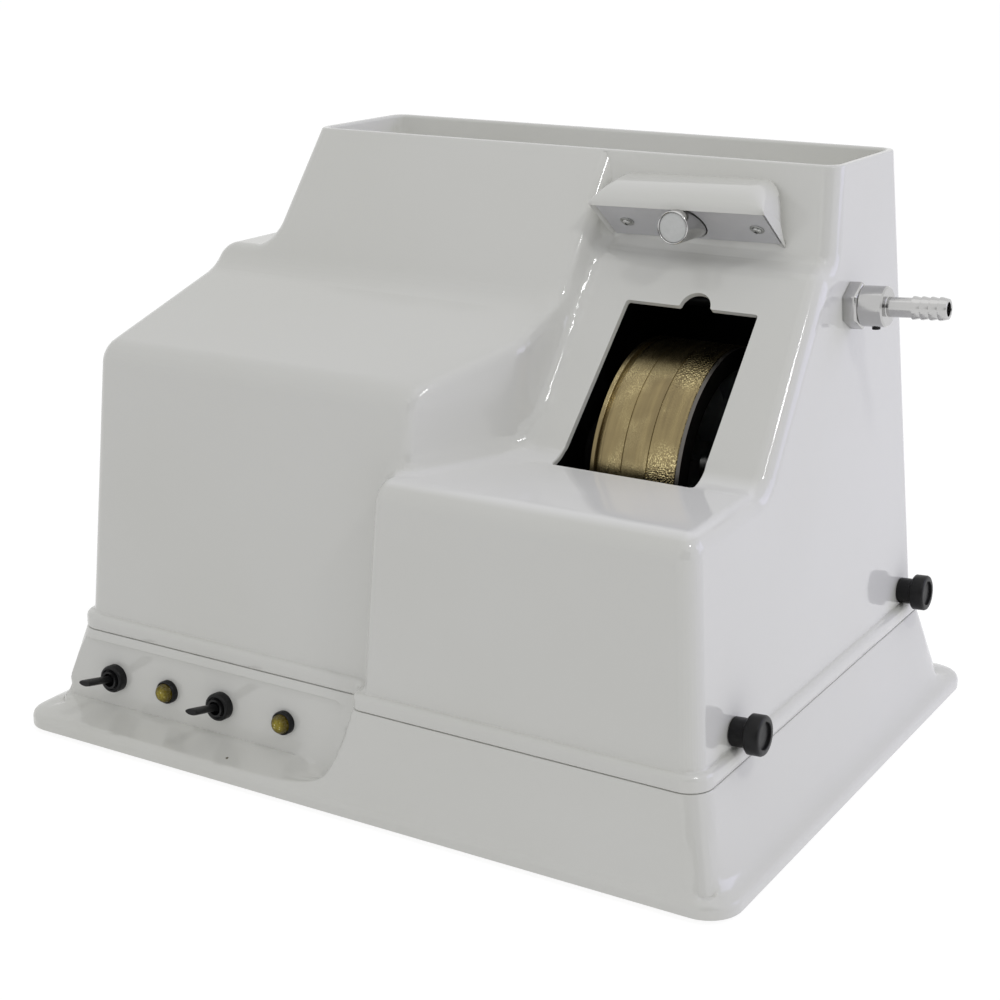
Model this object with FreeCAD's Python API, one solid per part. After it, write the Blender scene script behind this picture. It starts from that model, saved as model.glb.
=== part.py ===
import FreeCAD, Part
import math
import os

Vector = FreeCAD.Vector

# Every size is in millimetres and every angle in degrees. X runs to the right, Y to the back, Z up.
# Sizes are measured from the seam's middle on the bench. The finished pieces are moved so that the origin
# lies under the middle of the whole machine.

# Clearances
running_fit = 0.05
sliding_gap = 0.3
seam_gap = 0.4
hole_play = 0.25

# Base moulding
foot_height = 3.0
flange_left = 267.0
flange_right = 261.0
flange_front = 203.0
flange_back = 207.0
flange_thickness = 10.5
flange_edge_radius = 6.0
flange_corner_radius = 22.0
flange_skirt = 6.0
base_wall = 5.0
seam_height = 67.0
wall_flare = 11.0
skirt_flare = 4.0
skirt_height = 11.5
deck_thickness = 4.0
deck_bearing = 2.5
upstand_height = 25.0
upstand_wall = 4.0
upstand_gap = 2.6

# Hood plan at the seam, on the walls themselves
wall_right = 231.5
wall_left = 238.5
left_front = 161.5
right_front = 181.0
wall_back = 169.5
step_x = 1.0
seam_corner_radius = 16.0
step_radius = 9.0
side_draft = 3.85
left_draft = 3.2
back_draft = 5.2
left_front_draft = 4.2
right_front_draft = 2.0

# Bead round the bottom of the hood
bead_out = 4.5
bead_height = 10.5
bead_radius = 4.0

# Hood heights and faces
hood_wall = 4.0
hood_top = 387.0
lip_front = 37.0
tower_left = 180.5
tower_draft = 3.2
tower_face_angle = 53.75
shelf_drop = 76.0
shelf_outer_radius = 14.0
shelf_inner_radius = 12.0
left_shoulder = 261.5
left_slope = 17.0
shoulder_radius = 18.0
tower_fold_radius = 38.0
deck_height = 213.0
slope_set_in = 21.12
deck_front_radius = 15.0
deck_fold_radius = 26.0
slope_angle = 50.4
upper_panel_rise = 58.0
slope_top_radius = 15.0
ledge_depth = 15.0
ledge_rise = 5.0
ledge_radius = 10.0
edge_radius = 12.0
recess_from_step = 7.75
recess_y = -72.0
recess_angle = 64.0
recess_radius = 40.0
recess_edge_radius = 10.0
recess_fillet = 12.0
recess_fillet_drop = 37.0
recess_sink = 20.0

# Tray in the top of the hood
rim_width = 5.0
rim_radius = 2.0
tray_depth = 22.0
tray_corner_radius = 8.0
tray_floor_radius = 6.0

# Window in the slope
window_left = 84.0
window_width = 95.0
window_lean_left = 7.0
window_lean_right = 1.5
window_reach = 30.0
window_start = -6.0
window_top_margin = 30.0
window_corner_radius = 2.0
notch_radius = 10.3
notch_from_left = 54.0

# Spindle and grinding wheel
spindle_y = 12.0
spindle_drop = 193.0
wheel_radius = 79.5
wheel_start = 98.0
ring_widths = {"bevel_ring": 7.0, "fine_ring": 14.5, "medium_ring": 17.0, "coarse_ring": 19.5}
ring_depth = 8.0
groove_width = 4.0
groove_depth = 3.0
hub_rim_wall = 6.0
hub_web_offset = 6.0
hub_web = 20.0
end_ring_thickness = 2.5
end_ring_inset = 0.6
shaft_radius = 10.0
rotor_seat_radius = 13.0
shaft_past_nut = 7.0
shaft_clearance = 1.0
washer_radius = 22.0
washer_thickness = 4.0
nut_flats = 30.0
nut_height = 15.0
back_flange_radius = 40.0
back_flange_thickness = 10.0
slinger_radius = 32.0
slinger_thickness = 5.0
slinger_gap = 4.0

# Motor
motor_radius = 80.0
motor_wall = 5.0
motor_length = 130.0
motor_right = -10.0
bell_thickness = 25.0
bell_wall = 6.0
bell_edge_radius = 10.0
core_length = 76.0
core_bore_radius = 45.0
air_gap = 0.4
winding_reach = 17.0
winding_inner_radius = 48.0
winding_outer_radius = 70.0
bearing_outer_radius = 23.5
bearing_width = 14.0
bearing_shield = 1.5
fan_radius = 42.0
fan_plate = 3.0
fan_blade = 9.0
fan_hub_radius = 18.0
fan_blade_count = 8
fan_gap = 2.0
cradle_length = 110.0
cradle_width = 130.0
cradle_plate = 6.0
saddle_thickness = 8.0
saddle_angle = 38.0

# Splash partition, sump and drain
partition_x = 62.0
partition_thickness = 3.0
partition_clearance = 4.0
partition_foot = 16.0
partition_screw_places = (-110.0, -10.0, 90.0)
seal_radius = 20.0
seal_width = 9.0
seal_lip = 4.0
pan_gap = 4.0
pan_height = 36.0
pan_wall = 2.5
pan_corner_radius = 12.0
drain_x = 140.0
drain_y = 96.0
drain_radius = 9.0
drain_wall = 2.0
drain_lip = 5.0
drain_height = 40.0
drain_bend = 16.0
drain_reach = 222.0
spigot_radius = 8.0
drain_nut_flats = 30.0
drain_nut_height = 7.0
boss_radius = 18.0
boss_reach = 20.0

# Control panel
panel_left = -300.0
panel_right = -19.0
panel_bottom = 17.0
panel_top = 61.0
panel_set_back = 0.6
panel_lean = 4.0
panel_wall = 4.0
panel_pocket = 12.0
panel_end_radius = 8.0
control_height = 37.0
switch_places = (-209.0, -118.0)
lamp_places = (-163.0, -66.5)
switch_bush_radius = 6.0
switch_bush_length = 8.0
switch_bore_radius = 4.6
switch_block = (20.0, 26.0, 26.0)
collar_radius = 9.3
collar_height = 6.5
lever_ball_radius = 4.1
lever_stem_radius = 2.6
lever_pivot_depth = 5.0
lever_length = 29.0
lever_tip_width = 9.5
lever_tip_thickness = 3.2
lever_rest_angle = 9.0
pilot_bezel_radius = 7.8
pilot_bezel_height = 4.5
pilot_lens_radius = 6.4
pilot_lens_height = 9.0
pilot_body_radius = 5.5
pilot_body_length = 22.0
pilot_seat = 0.6

# Knobs of the hood
knob_places = {"front_knob": -133.0, "rear_knob": 140.0}
knob_rise = 20.0
knob_neck_radius = 8.7
knob_neck_length = 10.5
knob_head_radius = 12.0
knob_head_length = 9.5
knob_disc_radius = 8.0
knob_disc_depth = 1.6
knob_chamfer = 1.0
stud_radius = 3.0
stud_in_head = 12.0
clamp_nut_size = 12.0
clamp_nut_thickness = 6.0
clamp_nut_gap = 0.6
stud_past_nut = 3.0
slot_play = 0.8

# Water inlet
inlet_y = 53.0
inlet_over_wheel = 26.5
inlet_nut_flats = 26.0
inlet_nut_height = 9.0
inlet_collar_radius = 12.7
inlet_collar_length = 16.0
barb_radius = 7.3
barb_stem_radius = 6.2
barb_bore_radius = 4.4
barb_plain = 16.0
barb_pitch = 5.6
barb_count = 4
inlet_thread_radius = 8.0
inlet_thread_length = 16.0
inlet_back_nut_flats = 24.0
inlet_back_nut_height = 6.0
set_screw_radius = 2.6
set_screw_reach = 1.6
drip_pipe_bore = 3.2
drip_pipe_length = 118.0
drip_hole_radius = 1.25
drip_hole_pitch = 12.0
drip_hole_count = 5

# Work lamp
visor_left = 62.0
visor_width = 119.0
visor_reach = 37.5
visor_front_drop = 26.0
visor_front_thickness = 8.0
visor_top_drop = 10.0
visor_plate_drop = 25.0
visor_wall = 3.0
visor_left_radius = 10.0
visor_right_radius = 18.0
visor_edge_radius = 6.0
lamp_plate_thickness = 1.5
plate_recess = 1.5
lamp_radius = 10.4
lamp_wall = 1.2
lamp_x = 123.5
lamp_drop = 37.5
lamp_front = -12.0
lamp_lens_thickness = 2.5
lamp_back = 48.0
lamp_socket_front = 22.0
plate_screw_places = (80.0, 169.0)
plate_screw_radius = 3.0
plate_screw_height = 1.8
plate_screw_bite = 7.0

# Electrical pieces under the deck
capacitor_radius = 18.0
capacitor_length = 80.0
capacitor_x = -60.0
capacitor_y = 60.0
clip_width = 14.0
clip_thickness = 1.5
clip_foot = 14.0
terminal_block_size = (70.0, 24.0, 20.0)
terminal_block_place = (-60.0, -20.0)
terminal_count = 6
gland_x = -150.0
gland_height = 42.0
gland_radius = 11.0
gland_bore_radius = 4.5
gland_reach = 16.0
gland_inside = 10.0
gland_nut_radius = 14.0

# Bottom plate, feet and fasteners
bottom_plate_thickness = 1.5
bottom_plate_rise = 2.0
bottom_plate_gap = 0.6
plate_screw_inset = 7.0
plate_screw_spread = 120.0
foot_radius = 12.0
foot_taper = 1.5
foot_cup = 3.0
foot_inset = 40.0
screw_radius = 2.0
screw_head_radius = 4.0
screw_head_height = 2.0
screw_bite = 5.0
bolt_radius = 4.0
bolt_head_flats = 13.0
bolt_head_height = 5.5
bolt_length = 12.0
bolt_inset = 14.0

flange_width = flange_left + flange_right
flange_depth = flange_front + flange_back
shelf_height = hood_top - shelf_drop
slope_rise = hood_top - upper_panel_rise - ledge_rise - deck_height
recess_fillet_top = hood_top - recess_fillet_drop
visor_front_height = hood_top - visor_front_drop
visor_top_height = hood_top - visor_top_drop
lamp_height = hood_top - lamp_drop
spindle_height = hood_top - spindle_drop
knob_height = seam_height + knob_rise
inlet_height = spindle_height + wheel_radius + inlet_over_wheel
NODES = {}


def tan(angle):
    return math.tan(math.radians(angle))


def rounded_wire(corners, place):
    """Closed wire through (a, b, radius) corners, each rounded by an arc; place turns (a, b) into a point."""
    starts = []
    edges = []
    count = len(corners)
    for index, (a, b, radius) in enumerate(corners):
        here = Vector(a, b, 0)
        before = Vector(*corners[index - 1][:2], 0) - here
        after = Vector(*corners[(index + 1) % count][:2], 0) - here
        if radius == 0:
            starts.append((here, here, here))
            continue
        before.normalize()
        after.normalize()
        half = before.getAngle(after) / 2
        reach = radius / math.tan(half)
        middle = before + after
        middle.normalize()
        crown = here + middle * (radius / math.sin(half) - radius)
        starts.append((here + before * reach, crown, here + after * reach))
    for index, (start, crown, end) in enumerate(starts):
        last_end = starts[index - 1][2]
        if (start - last_end).Length > 1e-6:
            edges.append(Part.LineSegment(place(last_end.x, last_end.y), place(start.x, start.y)).toShape())
        if (end - start).Length > 1e-6:
            arc = Part.Arc(place(start.x, start.y), place(crown.x, crown.y), place(end.x, end.y))
            edges.append(arc.toShape())
    return Part.Wire(edges)


def inset(corners, distance):
    """The corners of a counter-clockwise outline moved inwards by a distance, radii unchanged."""
    moved = []
    count = len(corners)
    for index, (a, b, radius) in enumerate(corners):
        here = Vector(a, b, 0)
        before = here - Vector(*corners[index - 1][:2], 0)
        after = Vector(*corners[(index + 1) % count][:2], 0) - here
        before.normalize()
        after.normalize()
        turn = before.x * after.y - before.y * after.x
        shift = (after - before) * (distance / turn)
        moved.append((a + shift.x, b + shift.y, radius))
    return moved


def plan_solid(corners, low, high):
    """Outline in X and Y, raised from one height to another."""
    face = Part.Face(rounded_wire(corners, lambda a, b: Vector(a, b, low)))
    return face.extrude(Vector(0, 0, high - low))


def profile_solid(corners, left, right):
    """Side profile in Y and Z, drawn out along X."""
    face = Part.Face(rounded_wire(corners, lambda a, b: Vector(left, a, b)))
    return face.extrude(Vector(right - left, 0, 0))


def elevation_solid(corners, front, back):
    """Front view in X and Z, drawn out along Y."""
    face = Part.Face(rounded_wire(corners, lambda a, b: Vector(a, front, b)))
    return face.extrude(Vector(0, back - front, 0))


def rectangle(left, front, right, back, radius):
    return [(left, front, radius), (right, front, radius), (right, back, radius), (left, back, radius)]


def placed(shape, origin, direction):
    """A shape built along +Z, set with its own origin at a point and its +Z along a direction."""
    copy = shape.copy()
    placement = FreeCAD.Placement(origin, FreeCAD.Rotation(Vector(0, 0, 1), direction))
    copy.Placement = placement.multiply(shape.Placement)
    return copy


def disc(radius, low, high):
    return Part.makeCylinder(radius, high - low, Vector(0, 0, low))


def ring(outer, inner, low, high):
    return disc(outer, low, high).cut(disc(inner, low, high))


def hexagon(flats, low, high):
    reach = flats / math.sqrt(3)
    turns = [math.radians(60 * k) for k in range(6)]
    return plan_solid([(reach * math.cos(turn), reach * math.sin(turn), 0) for turn in turns], low, high)


def turned(outline):
    """Solid turned about Z from (radius, height) corners."""
    points = [Vector(radius, 0, height) for radius, height in outline]
    face = Part.Face(Part.makePolygon(points + points[:1]))
    return face.revolve(Vector(0, 0, 0), Vector(0, 0, 1), 360)


def on_spindle(shape, x):
    """A shape built along +Z, set on the spindle line with its origin at x."""
    return placed(shape, Vector(x, spindle_y, spindle_height), Vector(1, 0, 0))


def fuse_all(shapes):
    first, *others = shapes
    return first.multiFuse(others).removeSplitter()


def edges_where(shape, test):
    """Edges whose two ends and middle all pass a test."""
    chosen = []
    for edge in shape.Edges:
        first, last = edge.ParameterRange
        points = [edge.valueAt(first), edge.valueAt((first + last) / 2), edge.valueAt(last)]
        if all(test(point) for point in points):
            chosen.append(edge)
    return chosen


def near(value, target):
    return abs(value - target) < 0.01


def add(name, shape):
    NODES[name] = shape


# Walls of the hood as functions of height

def right_wall(height):
    return wall_right - (height - seam_height) * tan(side_draft)


def left_wall(height):
    return -wall_left + (height - seam_height) * tan(left_draft)


def back_wall(height):
    return wall_back - (height - seam_height) * tan(back_draft)


def left_front_wall(height):
    return -left_front + (height - seam_height) * tan(left_front_draft)


def right_front_wall(height):
    return -right_front + (height - seam_height) * tan(right_front_draft)


def step_wall(height):
    return step_x + (height - seam_height) * tan(side_draft)


def tower_left_wall(height):
    return -tower_left - (hood_top - height) * tan(tower_draft)


def tower_face(height):
    return lip_front - (hood_top - height) / tan(tower_face_angle)


slope_top_height = deck_height + slope_rise
slope_top = (tower_face(slope_top_height) + slope_set_in, slope_top_height)
deck_back = slope_top[0] - slope_rise / tan(slope_angle)
recess_run = (recess_y - left_front_wall(deck_height)) / tan(recess_angle)
recess_x = step_wall(deck_height) + recess_from_step + recess_run
ledge_back = (slope_top[0] + ledge_depth, slope_top[1] + ledge_rise)


def upper_panel(height):
    return ledge_back[0] + (lip_front - ledge_back[0]) * (height - ledge_back[1]) / (hood_top - ledge_back[1])


def left_profile(top, bottom):
    """Front wall, shoulder, slope and tower face of the left part, from a bottom to a top height."""
    shoulder_y = left_front_wall(left_shoulder)
    fold_run = (left_shoulder - hood_top) + (lip_front - shoulder_y) * tan(tower_face_angle)
    fold_y = shoulder_y + fold_run / (tan(tower_face_angle) - tan(left_slope))
    fold_z = left_shoulder + (fold_y - shoulder_y) * tan(left_slope)
    return [
        (left_front_wall(bottom), bottom, 0),
        (back_wall(bottom), bottom, 0),
        (back_wall(top), top, 0),
        (tower_face(top), top, 0),
        (fold_y, fold_z, tower_fold_radius),
        (shoulder_y, left_shoulder, shoulder_radius),
    ]


def left_elevation(top, bottom, right):
    """Left wall, shelf and tower side of the left part."""
    return [
        (left_wall(bottom), bottom, 0),
        (right, bottom, 0),
        (right, top, 0),
        (tower_left_wall(top), top, 0),
        (tower_left_wall(shelf_height), shelf_height, shelf_inner_radius),
        (left_wall(shelf_height), shelf_height, shelf_outer_radius),
    ]


def right_profile(top, bottom):
    """Front wall, deck, window slope, ledge and upper panel of the right part."""
    return [
        (right_front_wall(bottom), bottom, 0),
        (back_wall(bottom), bottom, 0),
        (back_wall(top), top, 0),
        (upper_panel(top), top, 0),
        (ledge_back[0], ledge_back[1], ledge_radius),
        (slope_top[0], slope_top[1], slope_top_radius),
        (deck_back, deck_height, deck_fold_radius),
        (right_front_wall(deck_height), deck_height, deck_front_radius),
    ]


def right_elevation(top, bottom):
    return [
        (step_wall(bottom), bottom, 0),
        (right_wall(bottom), bottom, 0),
        (right_wall(top), top, 0),
        (step_wall(top), top, 0),
    ]


def recess_plan():
    """Ground beside the left part, above the deck: a slanting wall that turns straight back."""
    reach = flange_depth
    far_x = recess_x - (reach + recess_y) / tan(recess_angle)
    return [
        (far_x, -reach, 0),
        (flange_width, -reach, 0),
        (flange_width, reach, 0),
        (recess_x, reach, 0),
        (recess_x, recess_y, recess_radius),
    ]


def hood_form(distance, top, bottom):
    """Solid form of the hood with every face moved in by a distance, between two heights."""
    reach = flange_depth
    profile_top = top + distance
    profile_bottom = bottom - distance
    left_side = inset(left_profile(profile_top, profile_bottom), distance)
    left = profile_solid(left_side, -flange_width, flange_width)
    side = left_elevation(profile_top, profile_bottom, recess_x + flange_corner_radius)
    left = left.common(elevation_solid(inset(side, distance), -reach, reach))
    recess = plan_solid(inset(recess_plan(), -distance), deck_height - recess_sink, hood_top + reach)
    left = left.cut(recess)
    right_side = inset(right_profile(profile_top, profile_bottom), distance)
    right = profile_solid(right_side, -flange_width, flange_width)
    right_front_view = inset(right_elevation(profile_top, profile_bottom), distance)
    right = right.common(elevation_solid(right_front_view, -reach, reach))
    return left, right


def edge_at(shape, point):
    """The edge of a shape that passes nearest to a point."""
    vertex = Part.Vertex(point)
    return min(shape.Edges, key=lambda edge: edge.distToShape(vertex)[0])


def rounded_at(shape, radius, points):
    """A shape with the edges at some points rounded, each along with the edges that run on from it."""
    for point in points:
        shape = shape.makeFillet(radius, [edge_at(shape, point)])
    return shape


def rounded_form(distance, top, bottom):
    """The form of the hood with its upright corners rounded."""
    left, right = hood_form(distance, top, bottom)
    middle = (seam_height + deck_height) / 2
    high = (deck_height + left_shoulder) / 2
    recess_front = left_front_wall(high)
    left_corners = [
        Vector(left_wall(middle), left_front_wall(middle), middle),
        Vector(left_wall(middle), back_wall(middle), middle),
    ]
    recess_edge = Vector(recess_x - (recess_y - recess_front) / tan(recess_angle), recess_front, high)
    right_corners = [
        Vector(right_wall(middle), right_front_wall(middle), middle),
        Vector(right_wall(middle), back_wall(middle), middle),
    ]
    step_edge = Vector(step_wall(middle), right_front_wall(middle), middle)
    left = rounded_at(left, edge_radius, left_corners)
    left = rounded_at(left, recess_edge_radius, [recess_edge])
    right = rounded_at(right, edge_radius, right_corners)
    right = rounded_at(right, step_radius, [step_edge])
    return left.fuse(right).removeSplitter()


def seam_plan(inner_radius):
    """Outline of the hood's walls at the seam, with a radius for the corner that points inwards."""
    return [
        (-wall_left, -left_front, seam_corner_radius),
        (step_x, -left_front, inner_radius),
        (step_x, -right_front, step_radius),
        (wall_right, -right_front, seam_corner_radius),
        (wall_right, wall_back, seam_corner_radius),
        (-wall_left, wall_back, seam_corner_radius),
    ]


wall_normal = Vector(math.cos(math.radians(side_draft)), 0, math.sin(math.radians(side_draft)))


def on_right_wall(shape, y, height):
    """A shape built along +Z, set on the outside of the right wall and square to it."""
    return placed(shape, Vector(right_wall(height), y, height), wall_normal)


def on_lamp(shape):
    """A shape built along +Z from the front end of the work lamp to its back."""
    return placed(shape, Vector(lamp_x, lamp_front, lamp_height), Vector(0, 1, 0))


slope_run = Vector(0, math.cos(math.radians(slope_angle)), math.sin(math.radians(slope_angle)))
slope_normal = Vector(0, -slope_run.z, slope_run.y)


def on_slope(across, along, above):
    """A point given across and along the window slope, at a distance above it."""
    return Vector(across, deck_back, deck_height) + slope_run * along + slope_normal * above


flange_outline = rectangle(-flange_left, -flange_front, flange_right, flange_back, flange_corner_radius)

# Hood: one moulded shell with a bead round its foot, a tray in its top and the window in its slope
hood_foot = seam_height + seam_gap
bead_top = hood_foot + bead_height
tray_floor = hood_top - tray_depth
form = rounded_form(0, hood_top, hood_foot)
lower_part = plan_solid(flange_outline, hood_foot, recess_fillet_top)
lower_form = form.common(lower_part)
fold_rise = slope_rise / 3
wall_over_deck = left_shoulder - shoulder_radius - deck_height
corner_fillet = min(recess_fillet, wall_over_deck / 2)
lower_form = rounded_at(lower_form, corner_fillet, [on_slope(recess_x, fold_rise / slope_run.z, 0)])
hood = lower_form.fuse(form.cut(lower_part)).removeSplitter()
bead = plan_solid(inset(seam_plan(step_radius), -bead_out), hood_foot, bead_top)
bead = bead.makeFillet(bead_radius, edges_where(bead, lambda point: near(point.z, bead_top)))
hood = hood.fuse(bead).removeSplitter()
hood = hood.cut(rounded_form(hood_wall, tray_floor - hood_wall, seam_height))
tray_plan = rectangle(
    tower_left_wall(hood_top) + rim_width,
    lip_front + rim_width,
    right_wall(hood_top) - rim_width,
    back_wall(hood_top) - rim_width,
    tray_corner_radius,
)
tray = plan_solid(tray_plan, tray_floor, hood_top + tray_depth)
tray = tray.makeFillet(tray_floor_radius, edges_where(tray, lambda point: near(point.z, tray_floor)))
hood = hood.cut(tray)
hood = rounded_at(hood, rim_radius, [Vector(lamp_x, lip_front + rim_width, hood_top)])
window_end = slope_rise / slope_run.z - window_top_margin
window_right = window_left + window_width
window_outline = [
    (window_left, window_start, window_corner_radius),
    (window_right, window_start, window_corner_radius),
    (window_right + window_lean_right, window_end, window_corner_radius),
    (window_left + window_lean_left, window_end, window_corner_radius),
]
window_face = Part.Face(rounded_wire(window_outline, lambda a, b: on_slope(a, b, -window_reach)))
hood = hood.cut(window_face.extrude(slope_normal * (2 * window_reach)))
notch = disc(notch_radius, -window_reach, window_reach)
hood = hood.cut(placed(notch, on_slope(window_left + notch_from_left, window_end, 0), slope_normal))
for y in knob_places.values():
    hood = hood.cut(on_right_wall(disc(stud_radius + running_fit, -2 * hood_wall, hood_wall), y, knob_height))
inlet_hole = disc(inlet_thread_radius + hole_play, -2 * hood_wall, hood_wall)
hood = hood.cut(on_right_wall(inlet_hole, inlet_y, inlet_height))
lamp_length = lamp_back - lamp_front
lamp_passage = on_lamp(disc(lamp_radius + hole_play, 0, lamp_length))
hood = hood.cut(lamp_passage)
add("hood_shell", hood)


def loft(low_corners, low, high_corners, high):
    """Solid with straight sides between two outlines at two heights."""
    low_wire = rounded_wire(low_corners, lambda a, b: Vector(a, b, low))
    high_wire = rounded_wire(high_corners, lambda a, b: Vector(a, b, high))
    return Part.makeLoft([low_wire, high_wire], True, True)


# Base: a moulding with a wide flange and a flared wall, a deck bonded into its top and, bonded to the deck,
# an upstand that the hood sits round
flange_top = foot_height + flange_thickness
wall_foot = flange_top + skirt_height
plate_top = foot_height + bottom_plate_rise + bottom_plate_thickness
deck_underside = seam_height - deck_thickness
base = plan_solid(flange_outline, foot_height, flange_top)
base = base.makeFillet(flange_edge_radius, edges_where(base, lambda point: near(point.z, flange_top)))
wall_plan = inset(seam_plan(step_radius), -bead_out - wall_flare)
skirt_plan = inset(wall_plan, -skirt_flare)
skirt = loft(skirt_plan, flange_top - flange_edge_radius, wall_plan, wall_foot)
wall = loft(wall_plan, wall_foot, inset(seam_plan(step_radius), -bead_out), seam_height)
base = fuse_all([base, skirt, wall])
boss_face = wall_back + boss_reach
back_bosses = {"drain": (drain_x, drain_height), "gland": (gland_x, gland_height)}
boss = disc(boss_radius, -boss_reach, 0)


def on_boss(shape, name):
    """A shape built along +Z, set on the outer face of a boss on the back wall."""
    x, height = back_bosses[name]
    return placed(shape, Vector(x, boss_face, height), Vector(0, 1, 0))


def cavity_plan(grow):
    """Inside of the base wall, kept straight behind the control panel."""
    corners = inset(seam_plan(step_radius), base_wall - grow)
    front = -left_front + panel_wall
    straight = [(x, front, radius) for x, y, radius in corners[:2]]
    return straight + corners[2:]


def panel_face(height):
    return panel_set_back - left_front - bead_out - (seam_height - height) * tan(panel_lean)


panel_normal = Vector(0, -math.cos(math.radians(panel_lean)), math.sin(math.radians(panel_lean)))


def on_panel(shape, x):
    """A shape built along +Z, set on the control panel and square to it."""
    return placed(shape, Vector(x, panel_face(control_height), control_height), panel_normal)


def panel_tool(depth, margin, left, front):
    """Space in front of the panel face (depth 0) or of a face at a depth behind it, from a left end on."""
    low = panel_bottom + margin
    high = panel_top - margin
    outline = rectangle(left, low, panel_right - margin, high, panel_end_radius)
    tool = elevation_solid(outline, -flange_depth, flange_depth)
    side = [
        (front, low, 0),
        (panel_face(low) + depth, low, 0),
        (panel_face(high) + depth, high, 0),
        (front, high, 0),
    ]
    return tool.common(profile_solid(side, -flange_width, flange_width))


flange_recess = inset(flange_outline, flange_skirt)
base = base.cut(plan_solid(flange_recess, 0, plate_top))
base = base.cut(loft(cavity_plan(bead_out + wall_flare), plate_top, cavity_plan(bead_out), deck_underside))
base = fuse_all([base, on_boss(boss, "drain"), on_boss(boss, "gland")])
base = base.cut(panel_tool(0, 0, panel_left, -flange_depth))
pocket_left = cavity_plan(bead_out)[0][0] + panel_end_radius
base = base.cut(panel_tool(panel_wall, panel_wall, pocket_left, -left_front + panel_pocket))
deck = plan_solid(cavity_plan(bead_out + deck_bearing), deck_underside, seam_height)
base = base.cut(deck)
upstand_plan = inset(seam_plan(upstand_gap), hood_wall + upstand_gap)
upstand_top = seam_height + upstand_height
upstand = plan_solid(upstand_plan, seam_height, upstand_top)
upstand = upstand.cut(plan_solid(inset(upstand_plan, upstand_wall), seam_height, upstand_top))

# Holes of the base and deck: controls, drain, gland and screws, and slots that the knob studs drop into
deck_screws = [(partition_x - partition_foot / 2, y) for y in partition_screw_places]
cradle_x = motor_right - motor_length / 2
cradle_plan = rectangle(cradle_x - cradle_length / 2, spindle_y - cradle_width / 2,
                        cradle_x + cradle_length / 2, spindle_y + cradle_width / 2, 0)
cradle_bolts = [(x, y) for x, y, radius in inset(cradle_plan, bolt_inset)]
screw_lines = inset(flange_outline, flange_skirt + plate_screw_inset)
(screw_left, screw_front, _), _, (screw_right, screw_back, _), _ = screw_lines
screw_rows = (-plate_screw_spread, 0, plate_screw_spread)
plate_screws = [(x, y) for x in (screw_left, screw_right) for y in screw_rows]
plate_screws = plate_screws + [(x, screw_back) for x in (-plate_screw_spread, plate_screw_spread)]
plate_screws = plate_screws + [(-plate_screw_spread, screw_front)]


def drilled(shape, radius, place, depth):
    """A shape with an upright hole of a nominal radius and its play, from a place up."""
    return shape.cut(Part.makeCylinder(radius + hole_play, depth, place))


for x in switch_places:
    base = base.cut(on_panel(disc(switch_bush_radius + hole_play, -2 * panel_wall, panel_wall), x))
for x in lamp_places:
    base = base.cut(on_panel(disc(pilot_body_radius + hole_play, -2 * panel_wall, panel_wall), x))
base = base.cut(on_boss(disc(drain_radius + hole_play, -2 * boss_reach, boss_reach), "drain"))
base = base.cut(on_boss(disc(gland_radius + hole_play, -2 * boss_reach, boss_reach), "gland"))
deck = drilled(deck, drain_radius, Vector(drain_x, drain_y, deck_underside), deck_thickness)
for x, y in deck_screws:
    deck = drilled(deck, screw_radius, Vector(x, y, deck_underside), deck_thickness)
for x, y in cradle_bolts:
    deck = drilled(deck, bolt_radius, Vector(x, y, deck_underside), deck_thickness)
screw_end = plate_top + screw_bite
for x, y in plate_screws:
    base = drilled(base, screw_radius, Vector(x, y, 0), screw_end + hole_play)
slot_half = stud_radius + slot_play
slot_bottom = knob_height - 2 * stud_radius
for y in knob_places.values():
    slot = rectangle(right_wall(seam_height) - 2 * upstand_wall - hood_wall - upstand_gap, y - slot_half,
                     right_wall(seam_height), y + slot_half, 0)
    upstand = upstand.cut(plan_solid(slot, slot_bottom, upstand_top))
add("base_shell", base)
add("base_deck", deck)
add("base_upstand", upstand)

# Bottom plate in the recess under the flange, with its screws and the rubber feet
plate_bottom = foot_height + bottom_plate_rise
plate = plan_solid(inset(flange_recess, bottom_plate_gap), plate_bottom, plate_top)
screw_head = disc(screw_head_radius, plate_bottom - screw_head_height, plate_bottom)
screw = disc(screw_radius, plate_bottom, screw_end).fuse(screw_head).removeSplitter()
screws = []
for x, y in plate_screws:
    plate = drilled(plate, screw_radius, Vector(x, y, 0), plate_top)
    screws.append(placed(screw, Vector(x, y, 0), Vector(0, 0, 1)))
add("bottom_plate", plate)
add("bottom_plate_screws", Part.makeCompound(screws))
foot = turned([(0, foot_cup), (foot_cup, foot_cup), (foot_cup, 0), (foot_radius - foot_taper, 0),
               (foot_radius, plate_bottom), (0, plate_bottom)])
feet = []
for x, y, radius in inset(flange_outline, foot_inset):
    feet.append(placed(foot, Vector(x, y, 0), Vector(0, 0, 1)))
add("rubber_feet", Part.makeCompound(feet))

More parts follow.
